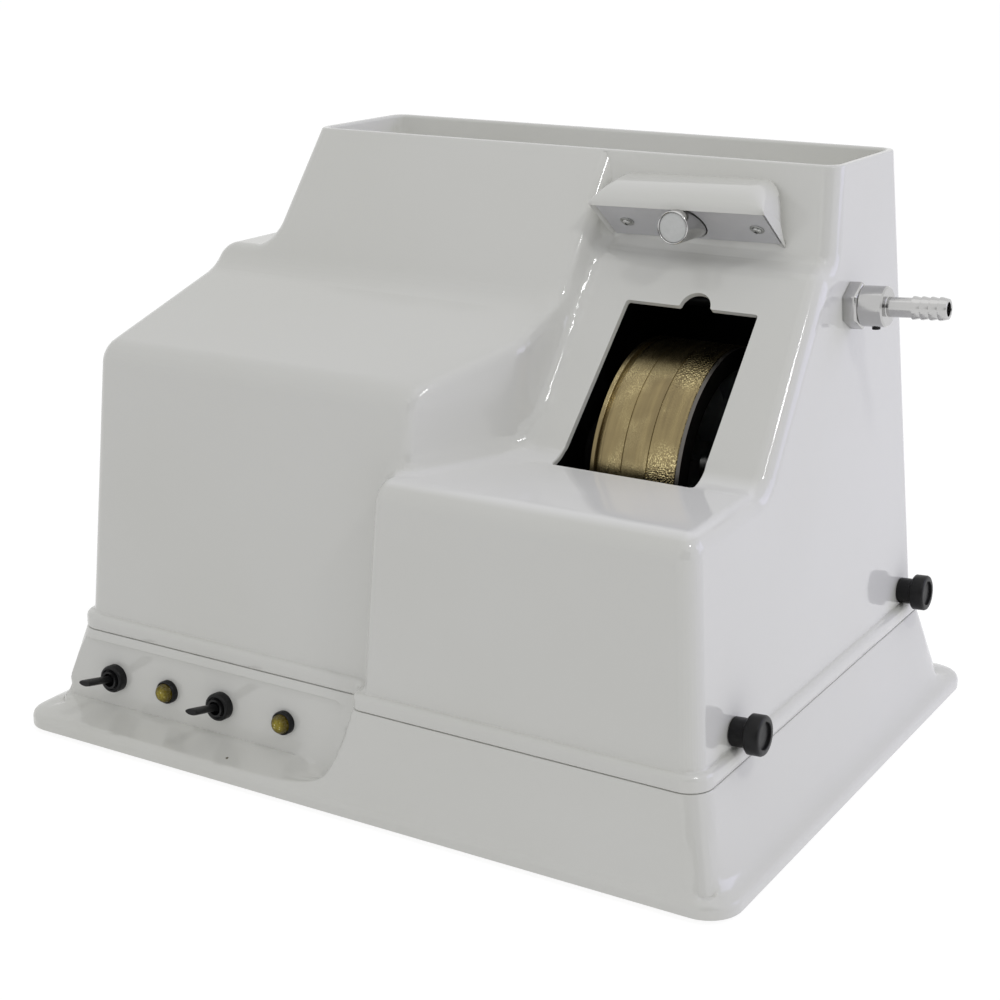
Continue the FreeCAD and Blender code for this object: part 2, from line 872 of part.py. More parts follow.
# Motor: drawn-steel housing between two cast bells, on a cradle bolted to the deck
motor_left = motor_right - motor_length
housing_bore = motor_radius - motor_wall
core_left = cradle_x - core_length / 2
core_right = cradle_x + core_length / 2
add("motor_housing", on_spindle(ring(motor_radius, housing_bore, 0, motor_length), motor_left))
bell_floor = bell_thickness - bell_wall
bearing_seat = bell_floor - bearing_width
bell = disc(motor_radius, 0, bell_thickness)
bell = bell.makeFillet(bell_edge_radius, edges_where(bell, lambda point: near(point.z, bell_thickness)))
bell = bell.cut(ring(motor_radius - bell_wall, bearing_outer_radius + bell_wall, 0, bell_floor))
bell = bell.cut(disc(bearing_outer_radius + bell_wall, 0, bearing_seat))
bell = bell.cut(disc(bearing_outer_radius + running_fit, 0, bell_floor))
bell = bell.cut(disc(shaft_radius + shaft_clearance, 0, bell_thickness))
bearing = ring(bearing_outer_radius, shaft_radius + running_fit, bearing_seat, bell_floor)
race = (bearing_outer_radius + shaft_radius) / 2
groove_end = bearing_seat + bearing_shield
bearing = bearing.cut(ring(race + bearing_shield, race - bearing_shield, bearing_seat, groove_end))


def at_left_bell(shape):
    return placed(shape, Vector(motor_left, spindle_y, spindle_height), Vector(-1, 0, 0))


add("motor_end_bells", Part.makeCompound([at_left_bell(bell), on_spindle(bell, motor_right)]))
add("shaft_bearings", Part.makeCompound([at_left_bell(bearing), on_spindle(bearing, motor_right)]))
add("stator_core", on_spindle(ring(housing_bore - running_fit, core_bore_radius, 0, core_length), core_left))
coil = ring(winding_outer_radius, winding_inner_radius, 0, winding_reach)
coil = coil.makeFillet(winding_reach / 4, edges_where(coil, lambda point: near(point.z, winding_reach)))
coil_left = placed(coil, Vector(core_left, spindle_y, spindle_height), Vector(-1, 0, 0))
add("stator_windings", Part.makeCompound([coil_left, on_spindle(coil, core_right)]))
cradle_top = seam_height + cradle_plate
cradle = plan_solid(cradle_plan, seam_height, cradle_top)
saddle_top = spindle_height - motor_radius * math.cos(math.radians(saddle_angle))
saddle_half = motor_radius * math.sin(math.radians(saddle_angle)) + saddle_thickness
saddle_edge = cradle_length / 2 - 2 * bolt_inset
saddle_side = rectangle(spindle_y - saddle_half, seam_height, spindle_y + saddle_half, saddle_top, 0)
saddles = [cradle]
for x in (cradle_x - saddle_edge, cradle_x + saddle_edge - saddle_thickness):
    saddles.append(profile_solid(saddle_side, x, x + saddle_thickness))
cradle = fuse_all(saddles)
cradle = cradle.cut(on_spindle(disc(motor_radius + hole_play, 0, motor_length), motor_left))
bolts = []
for x, y in cradle_bolts:
    cradle = drilled(cradle, bolt_radius, Vector(x, y, 0), cradle_top)
    bolt = disc(bolt_radius, -bolt_length, 0).fuse(hexagon(bolt_head_flats, 0, bolt_head_height))
    bolts.append(placed(bolt, Vector(x, y, cradle_top), Vector(0, 0, 1)))
add("motor_cradle", cradle)
add("motor_cradle_bolts", Part.makeCompound(bolts))

# Spindle: the motor shaft carries the rotor and fan at its left and the grinding wheel at its right
wheel_width = sum(ring_widths.values())
wheel_end = wheel_start + wheel_width
web_end = wheel_start + hub_web_offset + hub_web
nut_start = web_end + washer_thickness
shaft_end = nut_start + nut_height + shaft_past_nut
shaft_start = motor_left - bell_thickness
shaft = on_spindle(disc(shaft_radius, 0, shaft_end - shaft_start), shaft_start)
rotor_seat = on_spindle(disc(rotor_seat_radius, -shaft_clearance, core_length + shaft_clearance), core_left)
add("motor_shaft", shaft.fuse(rotor_seat).removeSplitter())
rotor_radius = core_bore_radius - air_gap
add("rotor_core", on_spindle(ring(rotor_radius, rotor_seat_radius + running_fit, 0, core_length), core_left))
fan_start = motor_left - bearing_seat + fan_gap
fan_pieces = [ring(fan_hub_radius, shaft_radius + running_fit, 0, fan_plate + fan_blade)]
fan_pieces.append(ring(fan_radius, fan_hub_radius, fan_blade, fan_plate + fan_blade))
blade_length = fan_radius - fan_hub_radius
blade_root = Vector(fan_hub_radius - fan_plate, 0, 0)
for k in range(fan_blade_count):
    blade = Part.makeBox(blade_length, fan_plate, fan_blade + fan_plate, blade_root)
    blade.rotate(Vector(0, 0, 0), Vector(0, 0, 1), k * 360 / fan_blade_count)
    fan_pieces.append(blade)
add("motor_fan", on_spindle(fuse_all(fan_pieces), fan_start))
seal_end = partition_x + partition_thickness + seal_lip
slinger = ring(slinger_radius, shaft_radius + running_fit, 0, slinger_thickness)
add("water_slinger", on_spindle(slinger, seal_end + slinger_gap))
flange_start = wheel_start - back_flange_thickness
back_flange = ring(back_flange_radius, shaft_radius + running_fit, 0, back_flange_thickness)
add("wheel_back_flange", on_spindle(back_flange, flange_start))
hub_radius = wheel_radius - ring_depth
hub = disc(hub_radius, 0, wheel_width)
hub = hub.cut(disc(hub_radius - hub_rim_wall, hub_web_offset + hub_web, wheel_width))
hub = hub.cut(ring(hub_radius - hub_rim_wall, back_flange_radius, 0, hub_web_offset))
hub = hub.cut(disc(shaft_radius + running_fit, 0, wheel_width))
add("wheel_hub", on_spindle(hub, wheel_start))
ring_bore = hub_radius + running_fit
ring_start = wheel_start
for name, width in ring_widths.items():
    if name == "bevel_ring":
        groove_bottom = (wheel_radius - groove_depth, width - groove_width / 2)
        grit = turned([(ring_bore, 0), (wheel_radius, 0), (wheel_radius, width - groove_width),
                       groove_bottom, (wheel_radius, width), (ring_bore, width)])
    else:
        grit = ring(wheel_radius, ring_bore, 0, width)
    add(name, on_spindle(grit, ring_start))
    ring_start = ring_start + width
end_ring = ring(wheel_radius - end_ring_inset, hub_radius - hub_rim_wall, 0, end_ring_thickness)
add("wheel_end_ring", on_spindle(end_ring, wheel_end))
add("wheel_washer", on_spindle(ring(washer_radius, shaft_radius + running_fit, 0, washer_thickness), web_end))
wheel_nut = hexagon(nut_flats, 0, nut_height).cut(disc(shaft_radius + running_fit, 0, nut_height))
add("wheel_nut", on_spindle(wheel_nut, nut_start))

# Splash partition between motor and wheel, with the seal that the shaft runs in
partition_inset = hood_wall + upstand_gap + upstand_wall + partition_clearance
partition_top = tray_floor - hood_wall
partition_side = inset(right_profile(partition_top, seam_height - partition_inset), partition_inset)
partition = profile_solid(partition_side, partition_x, partition_x + partition_thickness)
foot_span = partition_screw_places[-1] + partition_foot
partition_plan = rectangle(partition_x - partition_foot, partition_screw_places[0] - partition_foot,
                           partition_x + partition_thickness, foot_span, 0)
foot_top = seam_height + partition_thickness
partition = partition.fuse(plan_solid(partition_plan, seam_height, foot_top)).removeSplitter()
seal_hole = disc(seal_radius + running_fit, -partition_foot, partition_foot)
partition = partition.cut(on_spindle(seal_hole, partition_x))
screw = disc(screw_radius, -deck_thickness - partition_thickness, 0)
screw = screw.fuse(disc(screw_head_radius, 0, screw_head_height)).removeSplitter()
screws = []
for x, y in deck_screws:
    partition = drilled(partition, screw_radius, Vector(x, y, 0), 2 * seam_height)
    screws.append(placed(screw, Vector(x, y, foot_top), Vector(0, 0, 1)))
add("splash_partition", partition)
add("partition_screws", Part.makeCompound(screws))
seal_back = partition_thickness - seal_width
seal_front = partition_thickness + seal_lip
seal = ring(seal_radius, shaft_radius + running_fit, seal_back, seal_front)
seal = seal.fuse(ring(seal_radius + seal_lip, seal_radius, partition_thickness, seal_front)).removeSplitter()
add("shaft_seal", on_spindle(seal, partition_x))

# Sump pan on the deck under the wheel, and the drain that leaves through the back of the base
stack_reach = hood_wall + upstand_gap + upstand_wall + clamp_nut_gap + clamp_nut_thickness + stud_past_nut
pan_plan = rectangle(partition_x + partition_thickness + pan_gap, -right_front + partition_inset,
                     wall_right - stack_reach - 2 * pan_gap, wall_back - partition_inset, pan_corner_radius)
pan = plan_solid(pan_plan, seam_height, seam_height + pan_height)
pan = pan.cut(plan_solid(inset(pan_plan, pan_wall), seam_height + pan_wall, seam_height + pan_height))
pan = drilled(pan, drain_radius, Vector(drain_x, drain_y, seam_height), pan_height)
add("sump_pan", pan)
bend_height = drain_height + drain_bend
pan_floor = seam_height + pan_wall
drain_bore = drain_radius - drain_wall
drop = ring(drain_radius, drain_bore, bend_height, pan_floor + drain_wall)
drop = drop.fuse(ring(drain_radius + drain_lip, drain_bore, pan_floor, pan_floor + drain_wall))
drop = placed(drop, Vector(drain_x, drain_y, 0), Vector(0, 0, 1))
bend_face = Part.Face([Part.Wire(Part.makeCircle(drain_radius, Vector(drain_x, drain_y, bend_height))),
                       Part.Wire(Part.makeCircle(drain_bore, Vector(drain_x, drain_y, bend_height)))])
bend = bend_face.revolve(Vector(drain_x, drain_y + drain_bend, bend_height), Vector(1, 0, 0), 90)
pipe_start = drain_y + drain_bend
spigot_start = boss_face + drain_nut_height
pipe = placed(ring(drain_radius, drain_bore, 0, spigot_start - pipe_start),
              Vector(drain_x, pipe_start, drain_height), Vector(0, 1, 0))
spigot = placed(ring(spigot_radius, drain_bore, 0, drain_reach - spigot_start),
                Vector(drain_x, spigot_start, drain_height), Vector(0, 1, 0))
add("drain_elbow", fuse_all([drop, bend, pipe, spigot]))
locknut = hexagon(drain_nut_flats, 0, drain_nut_height)
locknut = locknut.cut(disc(drain_radius + running_fit, 0, drain_nut_height))
add("drain_locknut", on_boss(locknut, "drain"))

# Switches and pilot lamps of the control panel
block_width, block_height, block_depth = switch_block
bush_floor = switch_bush_length - 2 * lever_pivot_depth
switches = []
collars = []
for x in switch_places:
    block = Part.makeBox(block_width, block_height, block_depth,
                         Vector(-block_width / 2, -block_height / 2, -panel_wall - block_depth))
    block = block.fuse(disc(switch_bush_radius, -panel_wall, switch_bush_length)).removeSplitter()
    block = block.cut(disc(switch_bore_radius, bush_floor, switch_bush_length))
    switches.append(on_panel(block, x))
    collars.append(on_panel(ring(collar_radius, switch_bush_radius + hole_play, 0, collar_height), x))
add("switch_bodies", Part.makeCompound(switches))
add("switch_collars", Part.makeCompound(collars))
lever_angle = math.radians(panel_lean + lever_rest_angle)
lever_direction = Vector(0, -math.cos(lever_angle), math.sin(lever_angle))
pivot_out = switch_bush_length - lever_pivot_depth
lever_root = lever_length / 2
paddle = elevation_solid([(-lever_stem_radius, lever_root, 0), (lever_stem_radius, lever_root, 0),
                          (lever_tip_width / 2, lever_length, lever_tip_thickness / 2),
                          (-lever_tip_width / 2, lever_length, lever_tip_thickness / 2)],
                         -lever_tip_thickness / 2, lever_tip_thickness / 2)
stem = disc(lever_stem_radius, 0, lever_root + lever_tip_thickness)
lever = fuse_all([Part.makeSphere(lever_ball_radius), stem, paddle])
for name, x in zip(("toggle_lever_left", "toggle_lever_right"), switch_places):
    pivot = Vector(x, panel_face(control_height), control_height) + panel_normal * pivot_out
    add(name, placed(lever, pivot, lever_direction))
bodies = []
bezels = []
lenses = []
pilot_body = disc(pilot_body_radius, -pilot_body_length, pilot_seat)
pilot_body = pilot_body.fuse(disc(pilot_bezel_radius, -2 * panel_wall, -panel_wall)).removeSplitter()
bezel = ring(pilot_bezel_radius, pilot_lens_radius + hole_play, 0, pilot_bezel_height)
lens_shoulder = pilot_bezel_height + pilot_seat
lens = turned([(0, pilot_seat), (pilot_lens_radius, pilot_seat), (pilot_lens_radius, lens_shoulder),
               (pilot_lens_radius / 2, pilot_lens_height), (0, pilot_lens_height)])
for x in lamp_places:
    bodies.append(on_panel(pilot_body, x))
    bezels.append(on_panel(bezel, x))
    lenses.append(on_panel(lens, x))
add("pilot_lamp_bodies", Part.makeCompound(bodies))
add("pilot_lamp_bezels", Part.makeCompound(bezels))
add("pilot_lamp_lenses", Part.makeCompound(lenses))

# Electrical pieces under the deck, and the gland in the back wall
capacitor_height = plate_top + capacitor_radius + clip_thickness
capacitor = placed(disc(capacitor_radius, 0, capacitor_length),
                   Vector(capacitor_x - capacitor_length / 2, capacitor_y, capacitor_height), Vector(1, 0, 0))
add("run_capacitor", capacitor)
clip_reach = capacitor_radius + clip_thickness
clip = ring(clip_reach, capacitor_radius + running_fit, -clip_width / 2, clip_width / 2)
clip = placed(clip, Vector(capacitor_x, capacitor_y, capacitor_height), Vector(1, 0, 0))
clip_sole = rectangle(capacitor_x - clip_width / 2, capacitor_y - clip_reach - clip_foot,
                      capacitor_x + clip_width / 2, capacitor_y + clip_reach + clip_foot, 0)
clip = clip.fuse(plan_solid(clip_sole, plate_top, plate_top + clip_thickness)).removeSplitter()
add("capacitor_clip", clip)
block_length, block_across, block_rise = terminal_block_size
block_x, block_y = terminal_block_place
terminals = Part.makeBox(block_length, block_across, block_rise,
                         Vector(block_x - block_length / 2, block_y - block_across / 2, plate_top))
terminal_pitch = block_length / terminal_count
first_terminal = block_x + (terminal_pitch - block_length) / 2
for k in range(terminal_count):
    place = Vector(first_terminal + k * terminal_pitch, block_y, plate_top + block_rise / 2)
    terminals = terminals.cut(Part.makeCylinder(screw_head_radius, block_rise, place))
add("terminal_block", terminals)
gland = disc(gland_radius, -boss_reach - gland_inside, gland_reach)
gland = gland.fuse(hexagon(2 * gland_nut_radius, 0, gland_reach / 2)).removeSplitter()
gland = gland.cut(disc(gland_bore_radius, -boss_reach - gland_inside, gland_reach))
add("cable_gland", on_boss(gland, "gland"))

# Knobs on the right wall: each turns a stud that draws a square nut against the upstand
knob_end = knob_neck_length + knob_head_length
nut_face = -(hood_wall + upstand_gap + upstand_wall + clamp_nut_gap)
nut_back = nut_face - clamp_nut_thickness
knob = turned([
    (stud_radius, sliding_gap),
    (knob_neck_radius, sliding_gap),
    (knob_neck_radius, knob_neck_length),
    (knob_head_radius - knob_chamfer, knob_neck_length),
    (knob_head_radius, knob_neck_length + knob_chamfer),
    (knob_head_radius, knob_end - knob_chamfer),
    (knob_head_radius - knob_chamfer, knob_end),
    (knob_disc_radius, knob_end),
    (knob_disc_radius, knob_end - knob_disc_depth),
    (0, knob_end - knob_disc_depth),
    (0, stud_in_head),
    (stud_radius, stud_in_head),
])
stud = disc(stud_radius, nut_back - stud_past_nut, stud_in_head)
nut_square = rectangle(-clamp_nut_size / 2, -clamp_nut_size / 2, clamp_nut_size / 2, clamp_nut_size / 2, 0)
clamp_nut = plan_solid(nut_square, nut_back, nut_face)
clamp_nut = clamp_nut.cut(disc(stud_radius + running_fit, nut_back, nut_face))
nuts = []
for name, y in knob_places.items():
    add(name, on_right_wall(knob, y, knob_height))
    add(name + "_stud", on_right_wall(stud, y, knob_height))
    nuts.append(on_right_wall(clamp_nut, y, knob_height))
add("clamp_nuts", Part.makeCompound(nuts))

# Water inlet: a barbed tail screwed through the right wall, with a drip pipe over the wheel
collar_end = inlet_nut_height + inlet_collar_length
barb_start = collar_end + barb_plain
tail = [(barb_bore_radius, -inlet_thread_length), (inlet_thread_radius, -inlet_thread_length),
        (inlet_thread_radius, inlet_nut_height), (inlet_collar_radius, inlet_nut_height),
        (inlet_collar_radius, collar_end), (barb_stem_radius, collar_end), (barb_stem_radius, barb_start)]
for k in range(barb_count):
    tail.append((barb_radius, barb_start + k * barb_pitch))
    tail.append((barb_stem_radius, barb_start + (k + 1) * barb_pitch))
tail.append((barb_bore_radius, barb_start + barb_count * barb_pitch))
set_screw_at = Vector(inlet_thread_radius, 0, inlet_nut_height + inlet_collar_length / 2)
set_screw_length = inlet_collar_radius + set_screw_reach - inlet_thread_radius
screw_hole = disc(set_screw_radius + running_fit, 0, 2 * set_screw_length)
barb = turned(tail).cut(placed(screw_hole, set_screw_at, Vector(1, 0, 0)))
set_screw = placed(disc(set_screw_radius, 0, set_screw_length), set_screw_at, Vector(1, 0, 0))
thread_hole = inlet_thread_radius + running_fit
inlet_nut = hexagon(inlet_nut_flats, 0, inlet_nut_height).cut(disc(thread_hole, 0, inlet_nut_height))
back_nut_face = -hood_wall - sliding_gap
back_nut = hexagon(inlet_back_nut_flats, back_nut_face - inlet_back_nut_height, back_nut_face)
back_nut = back_nut.cut(disc(thread_hole, back_nut_face - inlet_back_nut_height, back_nut_face))
pipe_radius = barb_bore_radius - running_fit
drip_pipe = disc(pipe_radius, -inlet_thread_length - drip_pipe_length, 0)
drip_pipe = drip_pipe.cut(disc(drip_pipe_bore, -inlet_thread_length - drip_pipe_length + barb_bore_radius, 0))
for k in range(drip_hole_count):
    hole = disc(drip_hole_radius, 0, 2 * pipe_radius)
    place = Vector(0, 0, -inlet_thread_length - drip_pipe_length + drip_hole_pitch * (k + 1))
    drip_pipe = drip_pipe.cut(placed(hole, place, Vector(1, 0, 0)))
add("inlet_barb", on_right_wall(barb, inlet_y, inlet_height))
add("inlet_set_screw", on_right_wall(set_screw, inlet_y, inlet_height))
add("inlet_locknut", on_right_wall(inlet_nut, inlet_y, inlet_height))
add("inlet_back_nut", on_right_wall(back_nut, inlet_y, inlet_height))
add("drip_pipe", on_right_wall(drip_pipe, inlet_y, inlet_height))

# Work lamp under a visor on the upper panel, its aluminium plate closing the visor from below
visor_right = visor_left + visor_width
visor_front = upper_panel(visor_front_height) - visor_reach
plate_back_height = visor_front_height - visor_plate_drop
plate_back = upper_panel(plate_back_height)
visor_edge = visor_front_height + visor_front_thickness
plate_slope = visor_plate_drop / (plate_back - visor_front)
plate_angle = math.atan(plate_slope)
plate_normal = Vector(0, -math.sin(plate_angle), -math.cos(plate_angle))


def visor_underside(y):
    return visor_front_height - (y - visor_front) * plate_slope


def visor_plan(distance):
    """Outline of the visor from above, moved in by a distance, with rounded front corners."""
    left_radius = visor_left_radius - distance
    right_radius = visor_right_radius - distance
    left = visor_left + distance
    right = visor_right - distance
    front = visor_front + distance
    return [
        (left, front, left_radius),
        (right, front, right_radius),
        (right, lip_front, 0),
        (left, lip_front, 0),
    ]


visor_block = plan_solid(visor_plan(0), seam_height, hood_top)
visor_space = plan_solid(visor_plan(visor_wall), seam_height, hood_top)
visor_side = [
    (visor_front, visor_front_height, 0),
    (plate_back, plate_back_height, 0),
    (upper_panel(visor_top_height), visor_top_height, 0),
    (visor_front, visor_edge, visor_edge_radius),
]
visor_form = profile_solid(visor_side, visor_left, visor_right).common(visor_block)
top_slope = (visor_top_height - visor_edge) / (upper_panel(visor_top_height) - visor_front)
space_top = visor_edge - visor_wall
space_side = [
    (visor_front, seam_height, 0),
    (lip_front, seam_height, 0),
    (lip_front, space_top + (lip_front - visor_front) * top_slope, 0),
    (visor_front, space_top, visor_edge_radius - visor_wall),
]
space = profile_solid(space_side, visor_left, visor_right).common(visor_space)
plate_low = visor_front + visor_wall + hole_play
plate_high = plate_back - plate_recess
plate_upright = lamp_plate_thickness / math.cos(plate_angle)


def plate_top_height(y):
    return visor_underside(y) + plate_recess + plate_upright


plate_side = [
    (plate_low, visor_underside(plate_low) + plate_recess, 0),
    (plate_high, visor_underside(plate_high) + plate_recess, 0),
    (plate_high, plate_top_height(plate_high), 0),
    (plate_low, plate_top_height(plate_low), 0),
]
lamp_plate = profile_solid(plate_side, visor_left, visor_right)
lamp_plate = lamp_plate.common(plan_solid(visor_plan(visor_wall + hole_play), seam_height, hood_top))
lamp_plate = lamp_plate.cut(lamp_passage)
screw_y = (plate_low + plate_high) / 2
visor_posts = []
screws = []
for x in plate_screw_places:
    post_place = Vector(x, screw_y, plate_top_height(screw_y))
    post = placed(disc(plate_screw_radius, -visor_reach, 0), post_place, plate_normal)
    visor_posts.append(post.common(visor_form))
    screw = disc(plate_screw_radius / 2, -plate_screw_bite, 0)
    screw = screw.fuse(disc(plate_screw_radius, 0, plate_screw_height)).removeSplitter()
    screw_place = Vector(x, screw_y, visor_underside(screw_y) + plate_recess)
    screws.append(placed(screw, screw_place, plate_normal))
visor = fuse_all([visor_form.cut(space)] + visor_posts)
for x in plate_screw_places:
    shank = disc(plate_screw_radius / 2 + hole_play, -plate_screw_bite - hole_play, plate_screw_height)
    shank = placed(shank, Vector(x, screw_y, visor_underside(screw_y) + plate_recess), plate_normal)
    visor = visor.cut(shank)
    lamp_plate = lamp_plate.cut(shank)
add("lamp_visor", visor.cut(hood).cut(lamp_passage))
add("lamp_plate", lamp_plate)
add("lamp_plate_screws", Part.makeCompound(screws))
lamp_bore = lamp_radius - lamp_wall
add("work_lamp_tube", on_lamp(ring(lamp_radius, lamp_bore, 0, lamp_length)))
lens_radius = lamp_bore - running_fit
lens_back = lamp_wall / 2 + lamp_lens_thickness
add("work_lamp_lens", on_lamp(disc(lens_radius, lamp_wall / 2, lens_back)))
add("work_lamp_socket", on_lamp(disc(lens_radius, lamp_socket_front - lamp_front, lamp_length)))

# The origin goes under the middle of the machine, from flange to barb tip and from flange to drain
barb_length = barb_start + barb_count * barb_pitch
barb_tip = right_wall(inlet_height) + wall_normal.x * barb_length + wall_normal.z * barb_stem_radius
middle = Vector((barb_tip - flange_left) / 2, (drain_reach - flange_front) / 2, 0)
os.makedirs("parts", exist_ok=True)
for name, shape in NODES.items():
    solids = shape.Solids
    piece = solids[0] if len(solids) == 1 else Part.makeCompound(solids)
    piece.translated(-middle).exportStep("parts/" + name + ".step")
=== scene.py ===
import math

import bmesh
import bpy
import numpy as np
from mathutils import Matrix, Vector


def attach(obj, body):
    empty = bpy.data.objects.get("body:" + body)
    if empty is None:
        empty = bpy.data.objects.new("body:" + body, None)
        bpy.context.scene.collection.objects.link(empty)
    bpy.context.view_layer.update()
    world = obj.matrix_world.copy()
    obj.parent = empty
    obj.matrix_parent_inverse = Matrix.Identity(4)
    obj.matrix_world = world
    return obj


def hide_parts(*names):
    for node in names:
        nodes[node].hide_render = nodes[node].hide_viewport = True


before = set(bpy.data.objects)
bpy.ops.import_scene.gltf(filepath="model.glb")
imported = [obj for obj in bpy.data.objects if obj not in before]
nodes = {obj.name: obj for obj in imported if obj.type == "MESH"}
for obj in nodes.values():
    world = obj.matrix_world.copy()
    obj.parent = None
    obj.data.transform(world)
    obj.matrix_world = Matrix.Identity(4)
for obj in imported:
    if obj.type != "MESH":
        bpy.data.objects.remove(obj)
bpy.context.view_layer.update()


# Base moulding: one glass-fibre shell with a white gelcoat, flange, flared wall and control panel.
# It comes out of its mould with softly rounded edges, and the flange has picked up workshop grime.

class Wire:
    """A value in a material; sums, differences and products of such values add their own nodes."""

    def __init__(self, finish, socket):
        self.finish = finish
        self.socket = socket

    def maths(self, operation, first, second):
        return self.finish.node("ShaderNodeMath", {"operation": operation}, {0: first, 1: second})

    def __add__(self, other):
        return self.maths("ADD", self, other)

    def __radd__(self, other):
        return self.maths("ADD", other, self)

    def __sub__(self, other):
        return self.maths("SUBTRACT", self, other)

    def __mul__(self, other):
        return self.maths("MULTIPLY", self, other)


class Finish:
    """One surface finish: a material whose nodes are added by name."""

    def __init__(self, name, slot=None):
        self.slot = slot or name
        self.material = bpy.data.materials.new(name)
        self.material.use_nodes = True
        self.tree = self.material.node_tree
        self.shader = self.tree.nodes["Principled BSDF"]

    def feed(self, socket, value):
        if isinstance(value, Wire):
            self.tree.links.new(value.socket, socket)
        elif isinstance(value, tuple) and len(value) == 3 and socket.type == "RGBA":
            socket.default_value = (*value, 1)
        else:
            socket.default_value = value

    def node(self, kind, settings, inputs, output=0):
        made = self.tree.nodes.new(kind)
        for name, value in settings.items():
            setattr(made, name, value)
        for name, value in inputs.items():
            self.feed(made.inputs[name], value)
        return Wire(self, made.outputs[output])

    def set(self, **values):
        """Values for the shader's own sockets; an underscore stands for a space."""
        for name, value in values.items():
            self.feed(self.shader.inputs[name.replace("_", " ")], value)

    def place(self):
        return self.node("ShaderNodeTexCoord", {}, {}, "Object")

    def axis(self, name, vector=None):
        return self.node("ShaderNodeSeparateXYZ", {}, {"Vector": vector or self.place()}, name)

    def noise(self, scale, detail=2, vector=None):
        inputs = {"Vector": vector or self.place(), "Scale": scale, "Detail": detail}
        return self.node("ShaderNodeTexNoise", {}, inputs)

    def cells(self, scale, feature="F1"):
        inputs = {"Vector": self.place(), "Scale": scale}
        return self.node("ShaderNodeTexVoronoi", {"feature": feature}, inputs, "Distance")

    def stretched(self, x, y, z):
        return self.node("ShaderNodeMapping", {}, {"Vector": self.place(), "Scale": (x, y, z)})

    def between(self, value, low, high):
        """0 below one value, 1 above another, with a smooth rise."""
        return self.node("ShaderNodeMapRange", {"interpolation_type": "SMOOTHSTEP"},
                         {"Value": value, "From Min": low, "From Max": high})

    def mix(self, share, first, second):
        """Two colours; the node's colour sockets share their names with others and go by number."""
        return self.node("ShaderNodeMix", {"data_type": "RGBA"}, {0: share, 6: first, 7: second}, 2)

    def bump(self, height, depth, under=None):
        inputs = {"Height": height, "Distance": depth}
        if under:
            inputs["Normal"] = under
        return self.node("ShaderNodeBump", {}, inputs)


fresh_white = (0.80, 0.80, 0.772)
aged_white = (0.778, 0.778, 0.742)
# The lighter white that is painted on the deck as painted light.
deck_light_white = (0.92, 0.92, 0.91)
grime_colour = (0.48, 0.47, 0.34)
speck_colour = (0.12, 0.10, 0.06)
speck_place = (-0.1025, -0.2002, 0.0140)
speck_radius = (0.0024, 0.0018)
mould_waves = 0.0007
orange_peel = 0.000004

gelcoat = Finish("white_gelcoat")
clouds = gelcoat.between(gelcoat.noise(5, 3), 0.3, 0.75)
foot_of_flange = gelcoat.between(gelcoat.axis("Z"), 0.026, 0.012)
front_of_flange = gelcoat.between(gelcoat.axis("Y"), -0.172, -0.190)
left_of_flange = gelcoat.between(gelcoat.axis("X"), 0.06, -0.22)
film = foot_of_flange * front_of_flange * left_of_flange * (0.02 + gelcoat.noise(48, 5) * 0.13)
from_speck = gelcoat.node("ShaderNodeVectorMath", {"operation": "DISTANCE"},
                          {0: gelcoat.place(), 1: speck_place}, "Value")
speck = gelcoat.between(from_speck + gelcoat.noise(700) * 0.002, *speck_radius)
upright = gelcoat.axis("Z", gelcoat.node("ShaderNodeNewGeometry", {}, {}, "Normal"))
# Upward faces at the height of the deck are painted a lighter white: painted light on the deck.
painted_deck_light = gelcoat.between(upright, 0.72, 0.98) * gelcoat.between(gelcoat.axis("Z"), 0.234, 0.218)
painted_deck_light = painted_deck_light * gelcoat.between(gelcoat.axis("Z"), 0.10, 0.14)
tone_and_deck_light = gelcoat.mix(painted_deck_light, gelcoat.mix(clouds, fresh_white, aged_white), deck_light_white)
dusty = gelcoat.mix(film, tone_and_deck_light, grime_colour)
gelcoat.set(
    Base_Color=gelcoat.mix(speck, dusty, speck_colour),
    Roughness=0.06 + gelcoat.noise(30, 4) * 0.06 + film * 0.4,
    Normal=gelcoat.bump(gelcoat.noise(650, 1), orange_peel, gelcoat.bump(gelcoat.noise(13, 2), mould_waves)),
    IOR=1.5,
)


def only(piece):
    """Selects one piece alone."""
    bpy.ops.object.select_all(action="DESELECT")
    bpy.context.view_layer.objects.active = piece
    piece.select_set(True)


weld = 0.00002
flat_angle = 0.4
sharp_angle = 32
square = 0.999
soft_enough = 0.05


def moulded_copy(node, name, edge, softness, crisp):
    """A copy of a CAD node with rounded edges, apart from its soft region and its faces square to crisp."""
    skin = bpy.data.objects.new(name, nodes[node].data.copy())
    bpy.context.scene.collection.objects.link(skin)
    only(skin)
    skin.data.materials.clear()
    bpy.ops.mesh.customdata_custom_splitnormals_clear()
    bpy.ops.object.mode_set(mode="EDIT")
    bpy.ops.mesh.select_mode(type="EDGE")
    bpy.ops.mesh.select_all(action="SELECT")
    bpy.ops.mesh.remove_doubles(threshold=weld)
    mesh = bmesh.from_edit_mesh(skin.data)
    for face in mesh.faces:
        face.select_set(False)
    for face in mesh.faces:
        if abs(face.normal.z) < square and abs(face.normal.dot(crisp)) < square:
            face.select_set(True)
    bpy.ops.mesh.dissolve_limited(angle_limit=math.radians(flat_angle))
    bpy.ops.mesh.select_all(action="DESELECT")
    mesh = bmesh.from_edit_mesh(skin.data)
    mesh.verts.ensure_lookup_table()
    soft = softness(np.array([corner.co for corner in mesh.verts])) > soft_enough
    for line in mesh.edges:
        sharp = line.is_convex and line.calc_face_angle() > math.radians(sharp_angle)
        sharp = sharp and all(abs(face.normal.dot(crisp)) < square for face in line.link_faces)
        line.select_set(sharp and not any(soft[corner.index] for corner in line.verts))
    bpy.ops.mesh.bevel(offset=edge, segments=3, affect="EDGES", clamp_overlap=False)
    bpy.ops.object.mode_set(mode="OBJECT")
    return skin


